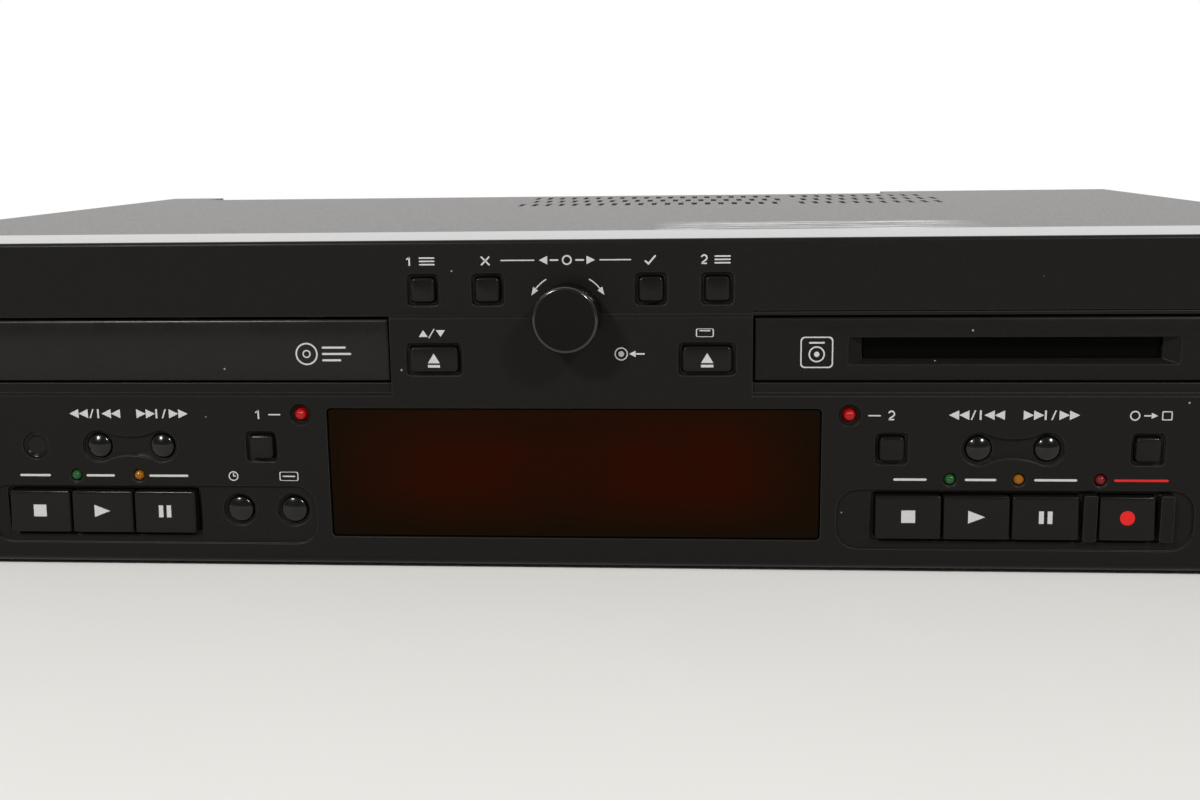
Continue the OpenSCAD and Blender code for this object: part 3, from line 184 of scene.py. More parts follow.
def flat(points, depth, finish=0):
    """Part of a mesh: one flat printed area on a surface at that depth, facing the front."""
    points = np.asarray(points, float)
    depths = np.broadcast_to(np.asarray(depth, float), len(points))
    corners = np.column_stack((points[:, 0], depths, points[:, 1]))
    return corners, np.empty((0, 4), int), [np.arange(len(points))], finish


def smooth(mesh):
    """Smooth shading, with the sharp edges kept as edges."""
    mesh.polygons.foreach_set("use_smooth", np.ones(len(mesh.polygons), bool))
    mesh.set_sharp_from_angle(angle=math.radians(SHARP))
    mesh.update()


def place(name, mesh, body, replaces=()):
    """A finished piece: linked, riding on its body and standing for its CAD nodes."""
    obj = bpy.data.objects.new(name, mesh)
    bpy.context.scene.collection.objects.link(obj)
    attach(obj, body)
    if replaces:
        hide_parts(*replaces)
    return obj


def piece(name, parts, finishes, body, replaces=()):
    """One piece from several parts: their points stacked and their face numbers shifted."""
    shift = np.cumsum([0] + [len(part[0]) for part in parts])
    points = np.vstack([part[0] for part in parts])
    faces, paint = [], []
    for (_, quads, ends, finish), start in zip(parts, shift):
        shifted = (quads + start).tolist() + [(end + start).tolist() for end in ends]
        faces += shifted
        paint += [finish] * len(shifted)
    mesh = bpy.data.meshes.new(name)
    mesh.from_pydata(at(points), [], faces)
    for finish in finishes:
        mesh.materials.append(FINISHES[finish])
    mesh.polygons.foreach_set("material_index", np.array(paint, np.int32))
    smooth(mesh)
    return place(name, mesh, body, replaces)


def merged(node, edge):
    """A copy of a CAD node's mesh: doubles merged, flat faces joined, edges weighed for a round.

    Only edges that stick out by more than 38 degrees are rounded, and a round never takes
    more than 0.45 of the narrower face beside it, which is that face's area over the
    edge's length.
    """
    bm = bmesh.new()
    bm.from_mesh(NODES[node].data)
    bmesh.ops.remove_doubles(bm, verts=bm.verts, dist=0.002 * MM)
    bmesh.ops.dissolve_limit(bm, angle_limit=math.radians(0.4), verts=bm.verts, edges=bm.edges)
    weight = bm.edges.layers.float.new("bevel_weight_edge")
    for line in bm.edges:
        if line.is_convex and line.calc_face_angle(0.0) > math.radians(38):
            room = min(face.calc_area() for face in line.link_faces) / line.calc_length()
            line[weight] = min(1.0, 0.45 * room / edge)
    mesh = bpy.data.meshes.new(node + "_eased")
    bm.to_mesh(mesh)
    bm.free()
    return mesh


def eased(node, body, finish, edge=0.2, clamp=False):
    """The CAD node's shape with the small round that a mould or a press leaves on edges."""
    mesh = merged(node, edge * MM)
    mesh.materials.clear()
    mesh.materials.append(FINISHES[finish])
    smooth(mesh)
    obj = place(node + "_shell", mesh, body, (node,))
    bevel = obj.modifiers.new("edge", "BEVEL")
    bevel.width = edge * MM
    bevel.segments = 2
    bevel.limit_method = "WEIGHT"
    bevel.use_clamp_overlap = clamp
    # large faces keep their own normal, so that only the rounds shade across
    level = obj.modifiers.new("level", "WEIGHTED_NORMAL")
    level.weight = 100
    level.keep_sharp = True
    return obj


def parted(obj, *regions):
    """Gives regions of a piece a finish of their own.

    A region is a finish and a test that takes the x, y and z of the faces' middles,
    as panel millimetres, and says which of them it covers.
    """
    mesh = obj.data
    middles = np.empty(3 * len(mesh.polygons), np.float32)
    mesh.polygons.foreach_get("center", middles)
    x, y, z = (middles.reshape(-1, 3) / MM - (0.0, PANEL_Y / MM, 0.0)).T
    paint = np.zeros(len(x), np.int32)
    for number, (finish, covers) in enumerate(regions, len(mesh.materials)):
        mesh.materials.append(FINISHES[finish])
        paint[covers(x, y, z)] = number
    mesh.polygons.foreach_set("material_index", paint)


# ---------------------------------------------------------------- ink


def stroke(x0, z0, x1, z1, width):
    """Outline of a line with round ends: a half circle of five points at each end."""
    along = math.atan2(z1 - z0, x1 - x0)
    a = np.linspace(-math.pi / 2, math.pi / 2, 5) + along
    arc = width / 2 * np.stack((np.cos(a), np.sin(a)), -1)
    return np.vstack((arc + (x1, z1), -arc + (x0, z0)))


def area(*points):
    """Outline of a polygon given anticlockwise from the front."""
    return np.array(points, float)


def disc(x, z, radius, around=24):
    """Outline of a filled circle."""
    return circle(radius, around) + (x, z)


def block(x, z, width, height):
    """Outline of a rectangle about its middle."""
    w, h = width / 2, height / 2
    return area((x - w, z - h), (x + w, z - h), (x + w, z + h), (x - w, z + h))


def triangle(x, z, size, way=1):
    """Outline of a play triangle, its point to the right, or to the left with way -1."""
    half = size / 2
    return area(*[(x - way * half, z - half), (x + way * half, z), (x - way * half, z + half)][::way])


def joined(left, right, closed, depth, finish):
    """Part of a mesh: quads between two lines of as many points each, one beside the other."""
    count = len(left)
    points = np.vstack((left, right))
    i = np.arange(count if closed else count - 1)
    after = (i + 1) % count
    quads = np.stack((i, after, after + count, i + count), -1)
    return np.column_stack((points[:, 0], np.full(2 * count, depth), points[:, 1])), quads, [], finish


def trail(line, width, depth, finish=0):
    """Part of a mesh: a printed bent line, its points moved to both sides along the normals."""
    line = np.asarray(line, float)
    ahead = np.gradient(line, axis=0)
    ahead /= np.linalg.norm(ahead, axis=1, keepdims=True)
    side = width / 2 * np.stack((-ahead[:, 1], ahead[:, 0]), -1)
    return joined(line - side, line + side, False, depth, finish)


def band(ring, width, depth, finish=0):
    """Part of a mesh: a printed line that follows a ring of points, drawn inwards."""
    middle = ring.mean(0)
    reach = np.linalg.norm(ring - middle, axis=1, keepdims=True)
    return joined(ring, middle + (ring - middle) * (1 - width / reach), True, depth, finish)


def inked(shapes, depth, finish=0):
    """Parts of a mesh: printed areas at that depth."""
    return [flat(shape, depth, finish) for shape in shapes]


def digit(number, x, z, height, depth):
    """Parts of a plain one or two: a bent line, whose bowl is an arc that runs down to the foot."""
    h, w = height / 2, 0.3 * height
    if number == 1:
        line = [(x - w, z + 0.45 * h), (x - 0.35 * w, z + 0.62 * h), (x + 0.15 * w, z + 0.95 * h)]
        return [flat(block(x + 0.15 * w, z, 0.42, height), depth), trail(line, 0.36, depth)]
    a = np.radians(np.linspace(165, -40, 12))
    bowl = np.stack((x + w * np.cos(a), z + h - w + w * np.sin(a)), -1)
    foot = np.linspace(bowl[-1], (x - w + 0.1, z - h + 0.3), 4)[1:]
    rule = block(x, z - h + 0.18, 2 * w, 0.36)
    return [trail(np.vstack((bowl, foot)), 0.4, depth), flat(rule, depth)]


def skip_mark(x, z, way):
    """Outlines of the search and skip symbols, with a slash between, that point along way."""
    half, wide = 1.25, 2.6
    shapes = []
    for start in (-7.1, -4.5, 1.9, 4.5):
        base, tip = x + way * start, x + way * (start + wide)
        shapes.append(area(*[(base, z - half), (tip, z), (base, z + half)][::way]))
    bar, slash = (-1.55, 0.525) if way > 0 else (0.95, -0.875)
    shapes.append(block(x + bar, z, 0.5, 2 * half))
    foot, head, thick = x + slash - 0.475, x + slash + 0.475, 0.2
    shapes.append(area((foot - thick, z - half), (foot + thick, z - half),
                       (head + thick, z + half), (head - thick, z + half)))
    return shapes


def strip_print(rule):
    """Parts printed on the strip: the decks' numbers, the answers and the jog's arrows."""
    depth = -LIFT
    parts = []
    # a deck's number by three rules
    for x, number in ((-MENU_X - 0.2, 1), (MENU_X - 0.2, 2)):
        rules = [stroke(x - 0.4, LABEL_ROW + k, x + 3.4, LABEL_ROW + k, 0.38) for k in (-0.85, 0.0, 0.85)]
        parts += inked(rules, depth) + digit(number, x - 3.2, LABEL_ROW, 2.3, depth)
    # a cross for no, in three strokes so that none lies over another, and a tick for yes
    x, z = -ANSWER_X - 0.4, LABEL_ROW
    parts += inked([stroke(x - 1, z - 1, x + 1, z + 1, 0.42), stroke(x - 1, z + 1, x - 0.2, z + 0.2, 0.42),
                    stroke(x + 0.2, z - 0.2, x + 1, z - 1, 0.42)], depth)
    tick = area((-0.8, 0), (-1.1, -0.3), (0, -1.3), (2.0, 1.0), (1.65, 1.3), (0, -0.65))
    parts += inked([tick + (ANSWER_X - 0.6, z)], depth)
    # the jog's mark: a ring between two arrows, and a rule to each side
    x, z = -0.4, LABEL_ROW + 0.1
    parts += inked([stroke(-17.6, z, -9.0, z, rule), stroke(8.2, z, 16.1, z, rule)], depth)
    parts.append(band(disc(x, z, 1.3), 0.4, depth))
    for way in (-1, 1):
        left, right = sorted((x + 2.4 * way, x + 4.3 * way))
        parts += inked([triangle(x + 6.2 * way, z, 2.2, way), stroke(left, z, right, z, 0.42)], depth)
        # turning arrow: an arc a little wider than the knob, with a head at its outer end
        a = np.radians(np.append(np.linspace(31, 51, 9), (51, 62)))
        away = np.stack((way * np.sin(a), np.cos(a)), -1)
        arc = away * 10.8 + (-0.3, JOG_ROW)
        parts.append(trail(arc[:9], rule, depth))
        head = [arc[9] + 0.8 * away[9], arc[10], arc[9] - 0.8 * away[9]]
        parts += inked([area(*head[::-way])], depth)
    return parts


def face_print():
    """Parts printed on the control face, from the wide buttons down to the keys."""
    depth = FACE - LIFT
    # tray out and in, over the left wide button
    x, z = -OPEN_X - 0.5, OPEN_ROW + 6.0
    parts = inked([area((x - 3.4, z), (x - 1.0, z), (x - 2.2, z + 1.8)),
                   area((x + 1.2, z + 1.8), (x + 2.4, z), (x + 3.6, z + 1.8)),
                   stroke(x - 0.7, z - 0.2, x + 0.7, z + 2.0, 0.3)], depth)
    # cartridge, over the right one
    x, z = OPEN_X - 0.6, OPEN_ROW + 6.9
    parts.append(band(outline(4.6, 2.2, 0.4) + (x, z), 0.3, depth))
    parts += inked([stroke(x - 1.3, z + 0.55, x + 1.3, z + 0.55, 0.3)], depth)
    # push, beside the jog knob
    x, z = 13.5, PUSH_ROW
    parts.append(band(disc(x, z, 1.75), 0.34, depth))
    parts += inked([disc(x, z, 0.75), block(x + 4.9, z, 2.4, 0.4), triangle(x + 2.9, z, 1.7, -1)], depth)
    # a deck's number by its select light
    for number, x, line in ((1, -84.2, (-81.2, -78.2)), (2, 83.4, (77.6, 80.5))):
        parts += inked([stroke(line[0], LIGHT_ROW, line[1], LIGHT_ROW, 0.36)], depth)
        parts += digit(number, x, LIGHT_ROW, 2.4, depth)
    for x, way in ((-129.3, -1), (105.1, -1), (-110.6, 1), (124.0, 1)):
        parts += inked(skip_mark(x, SIGN_ROW + 0.1, way), depth)
    # bars over the keys, the last in red
    thick = 0.62
    for x, width, finish in ((-147.5, 8.7, 0), (-129.1, 8.0, 0), (-110.0, 10.9, 0), (88.6, 8.6, 0),
                             (106.7, 8.1, 0), (125.8, 10.9, 0), (147.4, 13.7, 1)):
        reach = (width - thick) / 2
        parts += inked([stroke(x - reach, STATUS_ROW, x + reach, STATUS_ROW, thick)], depth, finish)
    # clock and screen, over the round buttons
    x, z = -92.0, STATUS_ROW
    parts.append(band(disc(x, z, 1.35), 0.3, depth))
    hands = area((-0.13, -0.13), (0.7, -0.13), (0.7, 0.13), (0.13, 0.13), (0.13, 0.85), (-0.13, 0.85))
    parts += inked([hands + (x, z)], depth)
    x = -76.7
    parts.append(band(outline(5.2, 2.5, 0.45) + (x, z), 0.3, depth))
    parts += inked([stroke(x - 1.6, z, x + 1.6, z, 0.36)], depth)
    # from disc to cartridge, over the dubbing button
    x, z = DUBBING_X, SIGN_ROW
    for ring in (disc(x - 3.8, z, 1.3), outline(2.6, 2.4, 0.3) + (x + 4.2, z)):
        parts.append(band(ring, 0.35, depth))
    parts += inked([block(x - 0.6, z, 1.9, 0.36), triangle(x + 1.1, z, 1.6)], depth)
    # power
    parts.append(band(disc(POWER_X, z, 1.3), 0.35, depth))
    parts += inked([stroke(POWER_X, z, POWER_X, z + 1.8, 0.36)], depth)
    # scales round the level knobs: a tick every 30 degrees, 1.2 mm long
    for x, reach in ((LEVEL_X, 8.0), (INPUT_X, 10.4)):
        for turn in np.radians(np.arange(-150, 151, 30)):
            away = np.array((math.sin(turn), math.cos(turn)))
            inner, outer = ((x, KEY_ROW) + r * away for r in (reach, reach + 1.2))
            parts += inked([stroke(*inner, *outer, 0.3)], depth)
    return parts


# ---------------------------------------------------------------- finishes

# A colour mix's two colours and its result, which Blender tells apart by number only
LOW, HIGH, MIXED = 6, 7, 2
FINISHES = {}


def srgb(code):
    """An sRGB hex colour, turned to linear light."""
    code = code.lstrip("#")
    value = np.array([int(code[i : i + 2], 16) for i in (0, 2, 4)]) / 255
    linear = np.where(value <= 0.04045, value / 12.92, ((value + 0.055) / 1.055) ** 2.4)
    return (*linear.tolist(), 1.0)


def shade(colour, factor=1.0):
    """The colour with its light multiplied by the factor."""
    return (*(factor * c for c in tuple(colour)[:3]), 1.0)


def add(tree, kind, inputs=(), out=0, **settings):
    """Adds a shader node with its settings, sets or links its inputs, and gives one output.

    The inputs are a dictionary by name or number, or the first few in their order.
    """
    node = tree.nodes.new("ShaderNode" + kind)
    for key, value in settings.items():
        setattr(node, key, value)
    for key, value in inputs.items() if isinstance(inputs, dict) else enumerate(inputs):
        if isinstance(value, bpy.types.NodeSocket):
            tree.links.new(value, node.inputs[key])
        else:
            node.inputs[key].default_value = value
    return node.outputs[out]


def surface(name, **sockets):
    """A new material with a Principled shader, and the values of that shader's own sockets."""
    material = bpy.data.materials.new(name)
    material.use_nodes = True
    shader = material.node_tree.nodes["Principled BSDF"]
    for key, value in sockets.items():
        shader.inputs[key.replace("_", " ")].default_value = value
    return material, material.node_tree, shader


def link(tree, shader, **sockets):
    """Lets patterns lead sockets of the shader."""
    for key, pattern in sockets.items():
        tree.links.new(pattern, shader.inputs[key.replace("_", " ")])


def moulded_abs(name, colour, roughness, grain=0.5, depth=0.02, level=0.3, dust=0.0, vary=0.04, soft=0.0):
    """ABS moulded in a spark-eroded tool: an even fine grain that softens the shine.

    grain and depth are the width and the height of the grain's crests in millimetres, vary
    is how far the shine wanders, and dust is how strongly specks of dust show. soft is the
    width in millimetres along its edges where the colour is painted paler, a painted highlight.
    """
    material, tree, shader = surface(name, IOR=1.53, Specular_IOR_Level=level)
    spot = add(tree, "TexCoord", out="Object")
    fine = add(tree, "TexNoise", {"Vector": spot, "Scale": 1 / (grain * MM), "Detail": 3.0})
    crests = add(tree, "MapRange", (fine, 0.3, 0.7))
    dark, pale = shade(colour, 0.86), shade(colour, 1.16)
    tone = add(tree, "Mix", {0: crests, LOW: dark, HIGH: pale}, MIXED, data_type="RGBA")
    bump = {"Height": fine, "Distance": depth * MM}
    if dust:
        # cells 11 mm across, some with a speck where their middle comes to the surface
        away = add(tree, "TexVoronoi", {"Vector": spot, "Scale": 1 / (11.0 * MM)})
        specks = add(tree, "MapRange", (away, 0.012, 0.03, dust, 0.0))
        tone = add(tree, "Mix", {0: specks, LOW: tone, HIGH: srgb("#c9c6bf")}, MIXED, data_type="RGBA")
    if soft:
        # close to an edge the rounded normal leans away from the face's own, and there the colour is
        # painted paler: a painted highlight along every edge
        bump["Normal"] = add(tree, "Bevel", {"Radius": soft * MM}, samples=8)
        straight = add(tree, "NewGeometry", out="Normal")
        same = add(tree, "VectorMath", (bump["Normal"], straight), "Value", operation="DOT_PRODUCT")
        edge_highlight = add(tree, "MapRange", (same, 0.99, 0.84))
        tone = add(tree, "Mix", {0: edge_highlight, LOW: tone, HIGH: shade(colour, 5.0)}, MIXED, data_type="RGBA")
    cloud = add(tree, "TexNoise", {"Vector": spot, "Scale": 1 / (9.0 * MM), "Detail": 2.0})
    shine = add(tree, "MapRange", (cloud, 0.3, 0.7, roughness - vary, roughness + vary))
    link(tree, shader, Base_Color=tone, Roughness=shine)
    if depth:
        link(tree, shader, Normal=add(tree, "Bump", bump))
    return material


def baked_enamel(name, colour, grain=0.7, wear=None):
    """Textured baked enamel on steel sheet: a grainy skin that greys at a low angle.

    wear = (x0, x1, y0, y1) in panel millimetres, where a tool has scuffed the paint
    to bare zinc in strokes across the deck.
    """
    material, tree, shader = surface(name, IOR=1.5, Specular_IOR_Level=0.5)
    spot = add(tree, "TexCoord", out="Object")
    fine = add(tree, "TexNoise", {"Vector": spot, "Scale": 1 / (grain * MM), "Detail": 4.0})
    crests = add(tree, "MapRange", (fine, 0.35, 0.65))
    dark, pale = shade(colour, 0.7), shade(colour, 1.45)
    tone = add(tree, "Mix", {0: crests, LOW: dark, HIGH: pale}, MIXED, data_type="RGBA")
    shine = add(tree, "MapRange", (fine, 0.3, 0.7, 0.28, 0.42))
    if wear:
        # strokes 1.7 mm wide and over twenty times as long
        along = add(tree, "Mapping", {"Vector": spot, "Scale": (0.045, 1.0, 1.0)})
        strokes = add(
            tree, "TexNoise", {"Vector": along, "Scale": 1 / (1.7 * MM), "Detail": 3.0, "Roughness": 0.6})
        bare = add(tree, "MapRange", (strokes, 0.5, 0.6))
        # they fade in over so many millimetres from the patch's left, right, front and back
        x, y = (add(tree, "SeparateXYZ", (spot,), axis) for axis in "XY")
        (x0, y0, _), (x1, y1, _) = at(((wear[0], wear[2], 0), (wear[1], wear[3], 0)))
        for axis, side, fade in ((x, x0, 12), (x, x1, -20), (y, y0, 1), (y, y1, -6)):
            ramp = add(tree, "MapRange", (axis, side, side + fade * MM))
            bare = add(tree, "Math", (bare, ramp), operation="MULTIPLY")
        tone = add(tree, "Mix", {0: bare, LOW: tone, HIGH: srgb("#f4f2ee")}, MIXED, data_type="RGBA")
        smoother = add(tree, "MapRange", (bare, 0.0, 1.0, 0.0, 0.27))
        shine = add(tree, "Math", (shine, smoother), operation="SUBTRACT")
        link(tree, shader, Metallic=bare)
    bumps = add(tree, "Bump", {"Height": fine, "Distance": 0.05 * MM})
    link(tree, shader, Base_Color=tone, Roughness=shine, Normal=bumps)
    return material


def silk_ink(name, colour):
    """Silk-screened ink: matt, very slightly uneven where the mesh let it through."""
    material, tree, shader = surface(name, Roughness=0.55, Specular_IOR_Level=0.3)
    spot = add(tree, "TexCoord", out="Object")
    mesh_marks = add(tree, "TexNoise", {"Vector": spot, "Scale": 1 / (0.25 * MM), "Detail": 1.0})
    spread = add(tree, "MapRange", (mesh_marks, 0.3, 0.6))
    tone = add(
        tree, "Mix", {0: spread, LOW: shade(colour, 0.86), HIGH: shade(colour)}, MIXED, data_type="RGBA")
    link(tree, shader, Base_Color=tone)
    return material


def smoked_acrylic(name):
    """Cast acrylic smoked red-brown over an unlit fluorescent display: deep and glossy.

    Its colour is redder in a clouded patch in the middle and darker towards the pane's edges, least towards
    its top.
    """
    material, tree, shader = surface(name, IOR=1.49, Roughness=0.12, Specular_IOR_Level=0.02)
    spot = add(tree, "TexCoord", out="Object")
    x, z = (add(tree, "SeparateXYZ", (spot,), axis) for axis in "XZ")
    off_middle = add(tree, "Math", (x,), operation="ABSOLUTE")
    # glow is how red the colour is, from a cloud and from ramps that darken it towards the edges; the pane
    # gives off no light
    cloud = add(tree, "TexNoise", {"Vector": spot, "Scale": 1 / (26.0 * MM), "Detail": 2.0})
    glow = add(tree, "MapRange", (cloud, 0.35, 0.65, 0.65, 1.0))
    for ramp in ((off_middle, 67 * MM, 42 * MM), (z, 9 * MM, 24 * MM), (z, 46 * MM, 33 * MM, 0.3, 1.0)):
        glow = add(tree, "Math", (glow, add(tree, "MapRange", ramp)), operation="MULTIPLY")
    tone = add(tree, "Mix", {0: glow, LOW: srgb("#100903"), HIGH: srgb("#230700")}, MIXED, data_type="RGBA")
    link(tree, shader, Base_Color=tone)
    return material


def lens_resin(name, colour, glow=0.0):
    """Cast epoxy of a light's lens: clear coloured resin, brighter where it is lit."""
    material, tree, shader = surface(name, IOR=1.55, Roughness=0.07, Specular_IOR_Level=0.28)
    spot = add(tree, "TexCoord", out="Object")
    flecks = add(tree, "TexNoise", {"Vector": spot, "Scale": 1 / (0.6 * MM), "Detail": 1.0})
    tone = add(
        tree, "Mix", {0: flecks, LOW: shade(colour, 0.75), HIGH: shade(colour)}, MIXED, data_type="RGBA")
    link(tree, shader, Base_Color=tone)
    if glow:
        link(tree, shader, Emission_Color=tone)
        shader.inputs["Emission Strength"].default_value = glow
    return material


def metal(name, colour, roughness, grain, depth, along=(1.0, 1.0, 1.0)):
    """Sheet or turned metal: a metal's own colour with the fine marks of its making.

    grain and depth are the marks' width and height in millimetres. along scales them on
    each axis: a small number draws them out along it.
    """
    material, tree, shader = surface(name, Metallic=1.0)
    spot = add(tree, "TexCoord", out="Object")
    drawn = add(tree, "Mapping", {"Vector": spot, "Scale": along})
    lines = add(tree, "TexNoise", {"Vector": drawn, "Scale": 1 / (grain * MM), "Detail": 3.0})
    spread = add(tree, "MapRange", (lines, 0.3, 0.7))
    tone = add(
        tree, "Mix", {0: spread, LOW: shade(colour, 0.8), HIGH: shade(colour)}, MIXED, data_type="RGBA")
    shine = add(tree, "MapRange", (lines, 0.3, 0.7, roughness - 0.06, roughness + 0.08))
    marks = add(tree, "Bump", {"Height": lines, "Distance": depth * MM})
    link(tree, shader, Base_Color=tone, Roughness=shine, Normal=marks)
    return material


def circuit_laminate(name):
    """Glass-epoxy board under green solder mask, with copper tracks showing through.

    The tracks are drawn 5 mm apart, coarser than real ones, so that they show.
    """
    material, tree, shader = surface(name, IOR=1.5, Roughness=0.32, Coat_Weight=0.3)
    spot = add(tree, "TexCoord", out="Object")
    cells = add(tree, "TexVoronoi", {"Vector": spot, "Scale": 1 / (5.0 * MM)}, distance="MANHATTAN")
    tracks = add(tree, "MapRange", (cells, 0.48, 0.52))
    tone = add(
        tree, "Mix", {0: tracks, LOW: srgb("#1d5a34"), HIGH: srgb("#2f7a48")}, MIXED, data_type="RGBA")
    steps = add(tree, "Bump", {"Height": tracks, "Distance": 0.035 * MM})
    link(tree, shader, Base_Color=tone, Normal=steps)
    return material


def moulded_rubber(name):
    """Moulded rubber: matt, dusty black."""
    material, tree, shader = surface(name, Roughness=0.85, Specular_IOR_Level=0.25)
    spot = add(tree, "TexCoord", out="Object")
    dusty = add(tree, "TexNoise", {"Vector": spot, "Scale": 1 / (1.2 * MM), "Detail": 4.0})
    tone = add(
        tree, "Mix", {0: dusty, LOW: srgb("#141414"), HIGH: srgb("#262625")}, MIXED, data_type="RGBA")
    bumps = add(tree, "Bump", {"Height": dusty, "Distance": 0.05 * MM})
    link(tree, shader, Base_Color=tone, Normal=bumps)
    return material


def painted_table(name, colour):
    """Matt painted board, faintly clouded, that turns white far off, with no edge to see."""
    material, tree, shader = surface(name, Roughness=0.6, Specular_IOR_Level=0.2)
    spot = add(tree, "TexCoord", out="Object")
    cloud = add(tree, "TexNoise", {"Vector": spot, "Scale": 1 / (60.0 * MM), "Detail": 3.0})
    tone = add(
        tree, "Mix", {0: cloud, LOW: shade(colour, 0.96), HIGH: shade(colour)}, MIXED, data_type="RGBA")
    link(tree, shader, Base_Color=tone)
    far = add(tree, "MapRange", (add(tree, "VectorMath", (spot,), "Value", operation="LENGTH"), 0.75, 1.5))
    rays = [add(tree, "LightPath", out=kind) for kind in ("Is Camera Ray", "Is Glossy Ray")]
    fade = add(tree, "Math", (add(tree, "Math", rays, operation="MAXIMUM"), far), operation="MULTIPLY")
    white = add(tree, "Emission", {"Color": (1, 1, 1, 1), "Strength": 1.0})
    both = add(tree, "MixShader", (fade, shader.outputs[0], white))
    tree.links.new(both, tree.nodes["Material Output"].inputs["Surface"])
    return material


def mix_finishes(colours):
    """Makes every finish once, from the colours of the panel's settings."""
    FINISHES.update(
        # mouldings: roughness, width and height of the grain, and level of the shine
        panel=moulded_abs("panel_abs", colours.panel, 0.36, 0.55, 0.015, 0.08, dust=0.5, soft=0.35),
        tray=moulded_abs("tray_abs", colours.panel, 0.27, 0.55, 0.01, 0.16, dust=0.5, soft=0.35),
        rim=moulded_abs("rim_abs", colours.panel, 0.1, 0.8, 0.0, 0.8, vary=0.01),
        cap=moulded_abs("cap_abs", colours.cap, 0.2, 0.45, 0.005, 0.14, soft=0.25),
        dome=moulded_abs("polished_cap_abs", shade(colours.cap, 0.6), 0.17, 0.45, 0.003, 0.34, vary=0.02),
        knob=moulded_abs("knob_abs", shade(colours.cap, 0.75), 0.3, 0.5, 0.004, 0.08),
        knob_rim=moulded_abs("polished_abs", shade(colours.cap, 0.75), 0.16, 0.5, 0.0, 0.6, vary=0.01),
        # the flap is black plastic, coloured darker still as painted shade of the slot it lies in
        flap=moulded_abs("flap_abs", srgb("#040302"), 0.5, 0.5, 0.01, 0.03),
        grey=moulded_abs("grey_polycarbonate", srgb("#4b4b4d"), 0.5, 0.6, 0.02, 0.5),
        acetal=moulded_abs("white_acetal", srgb("#dcdad0"), 0.38, 0.6, 0.01, 0.5),
        socket=moulded_abs("socket_nylon", srgb("#1a1a1b"), 0.5, 0.5, 0.015, 0.4),
        white_ring=moulded_abs("white_insulator", srgb("#d8d6d0"), 0.4, 0.5, 0.01, 0.5),
        red_ring=moulded_abs("red_insulator", srgb("#a3201f"), 0.4, 0.5, 0.01, 0.5),
        rubber=moulded_rubber("foot_rubber"),
        # paint and print
        cover=baked_enamel("cover_enamel", colours.cover, wear=(20, 118, 33.5, 75)),
        enamel=baked_enamel("ear_enamel", shade(colours.cover, 0.28), 0.5),
        ink=silk_ink("white_ink", colours.ink),
        red_ink=silk_ink("red_ink", colours.red_ink),
        # windows and lenses
        window=smoked_acrylic("smoked_acrylic"),
        lit=lens_resin("lit_red_resin", colours.lit, 0.1),
        green=lens_resin("green_resin", srgb("#1c4d23")),
        amber=lens_resin("amber_resin", srgb("#8a5208")),
        dull_red=lens_resin("dull_red_resin", srgb("#620d10")),
        tube=lens_resin("display_glass", srgb("#27302e")),
        # metals: roughness, and width and height of the marks
        zinc=metal("zinc_plate", srgb("#b9bab6"), 0.38, 0.9, 0.01),
        steel=metal("drawn_steel", srgb("#c4c5c8"), 0.3, 0.25, 0.004, (0.04, 1.0, 1.0)),
        nickel=metal("nickel_plate", srgb("#cfcac0"), 0.2, 0.4, 0.002),
        brass=metal("brass_turning", srgb("#c9a455"), 0.28, 0.3, 0.003),
        copper=metal("enamelled_wire", srgb("#b0622d"), 0.35, 0.35, 0.02, (1.0, 0.04, 1.0)),
        blackened=metal("blackened_screw", srgb("#3a3a3b"), 0.4, 0.3, 0.004),
        laminate=circuit_laminate("circuit_laminate"),
    )


# ---------------------------------------------------------------- settings


class DeckColours(bpy.types.PropertyGroup):
    """Colours that a user would change, of its finishes."""

    panel: bpy.props.FloatVectorProperty(
        name="Panel", description="Moulded panel",
        default=srgb("#151412")[:3], min=0.0, max=1.0, subtype="COLOR")
    cap: bpy.props.FloatVectorProperty(
        name="Caps", description="Buttons, keys and knobs",
        default=srgb("#110f0e")[:3], min=0.0, max=1.0, subtype="COLOR")
    cover: bpy.props.FloatVectorProperty(
        name="Cover", description="Enamel of the cover and the rack ears",
        default=srgb("#3b3430")[:3], min=0.0, max=1.0, subtype="COLOR")
    ink: bpy.props.FloatVectorProperty(
        name="Ink", description="White print",
        default=srgb("#b5b3b1")[:3], min=0.0, max=1.0, subtype="COLOR")
    red_ink: bpy.props.FloatVectorProperty(
        name="Red ink", description="Print of the record controls",
        default=srgb("#c9120f")[:3], min=0.0, max=1.0, subtype="COLOR")
    lit: bpy.props.FloatVectorProperty(
        name="Lit light", description="Select lights that are on",
        default=srgb("#960406")[:3], min=0.0, max=1.0, subtype="COLOR")


class DeckSizes(bpy.types.PropertyGroup):
    """Small sizes of the dressing, in metres."""

    edge: bpy.props.FloatProperty(
        name="Edge", description="Round on moulded edges", default=0.35 * MM,
        min=0.05 * MM, max=0.5 * MM, subtype="DISTANCE", unit="LENGTH", precision=5)
    rule: bpy.props.FloatProperty(
        name="Rule", description="Thickness of printed lines", default=0.32 * MM,
        min=0.1 * MM, max=0.8 * MM, subtype="DISTANCE", unit="LENGTH", precision=5)
    crown: bpy.props.FloatProperty(
        name="Crown", description="Dome of the round buttons", default=1.2 * MM,
        min=0.0, max=1.3 * MM, subtype="DISTANCE", unit="LENGTH", precision=5)


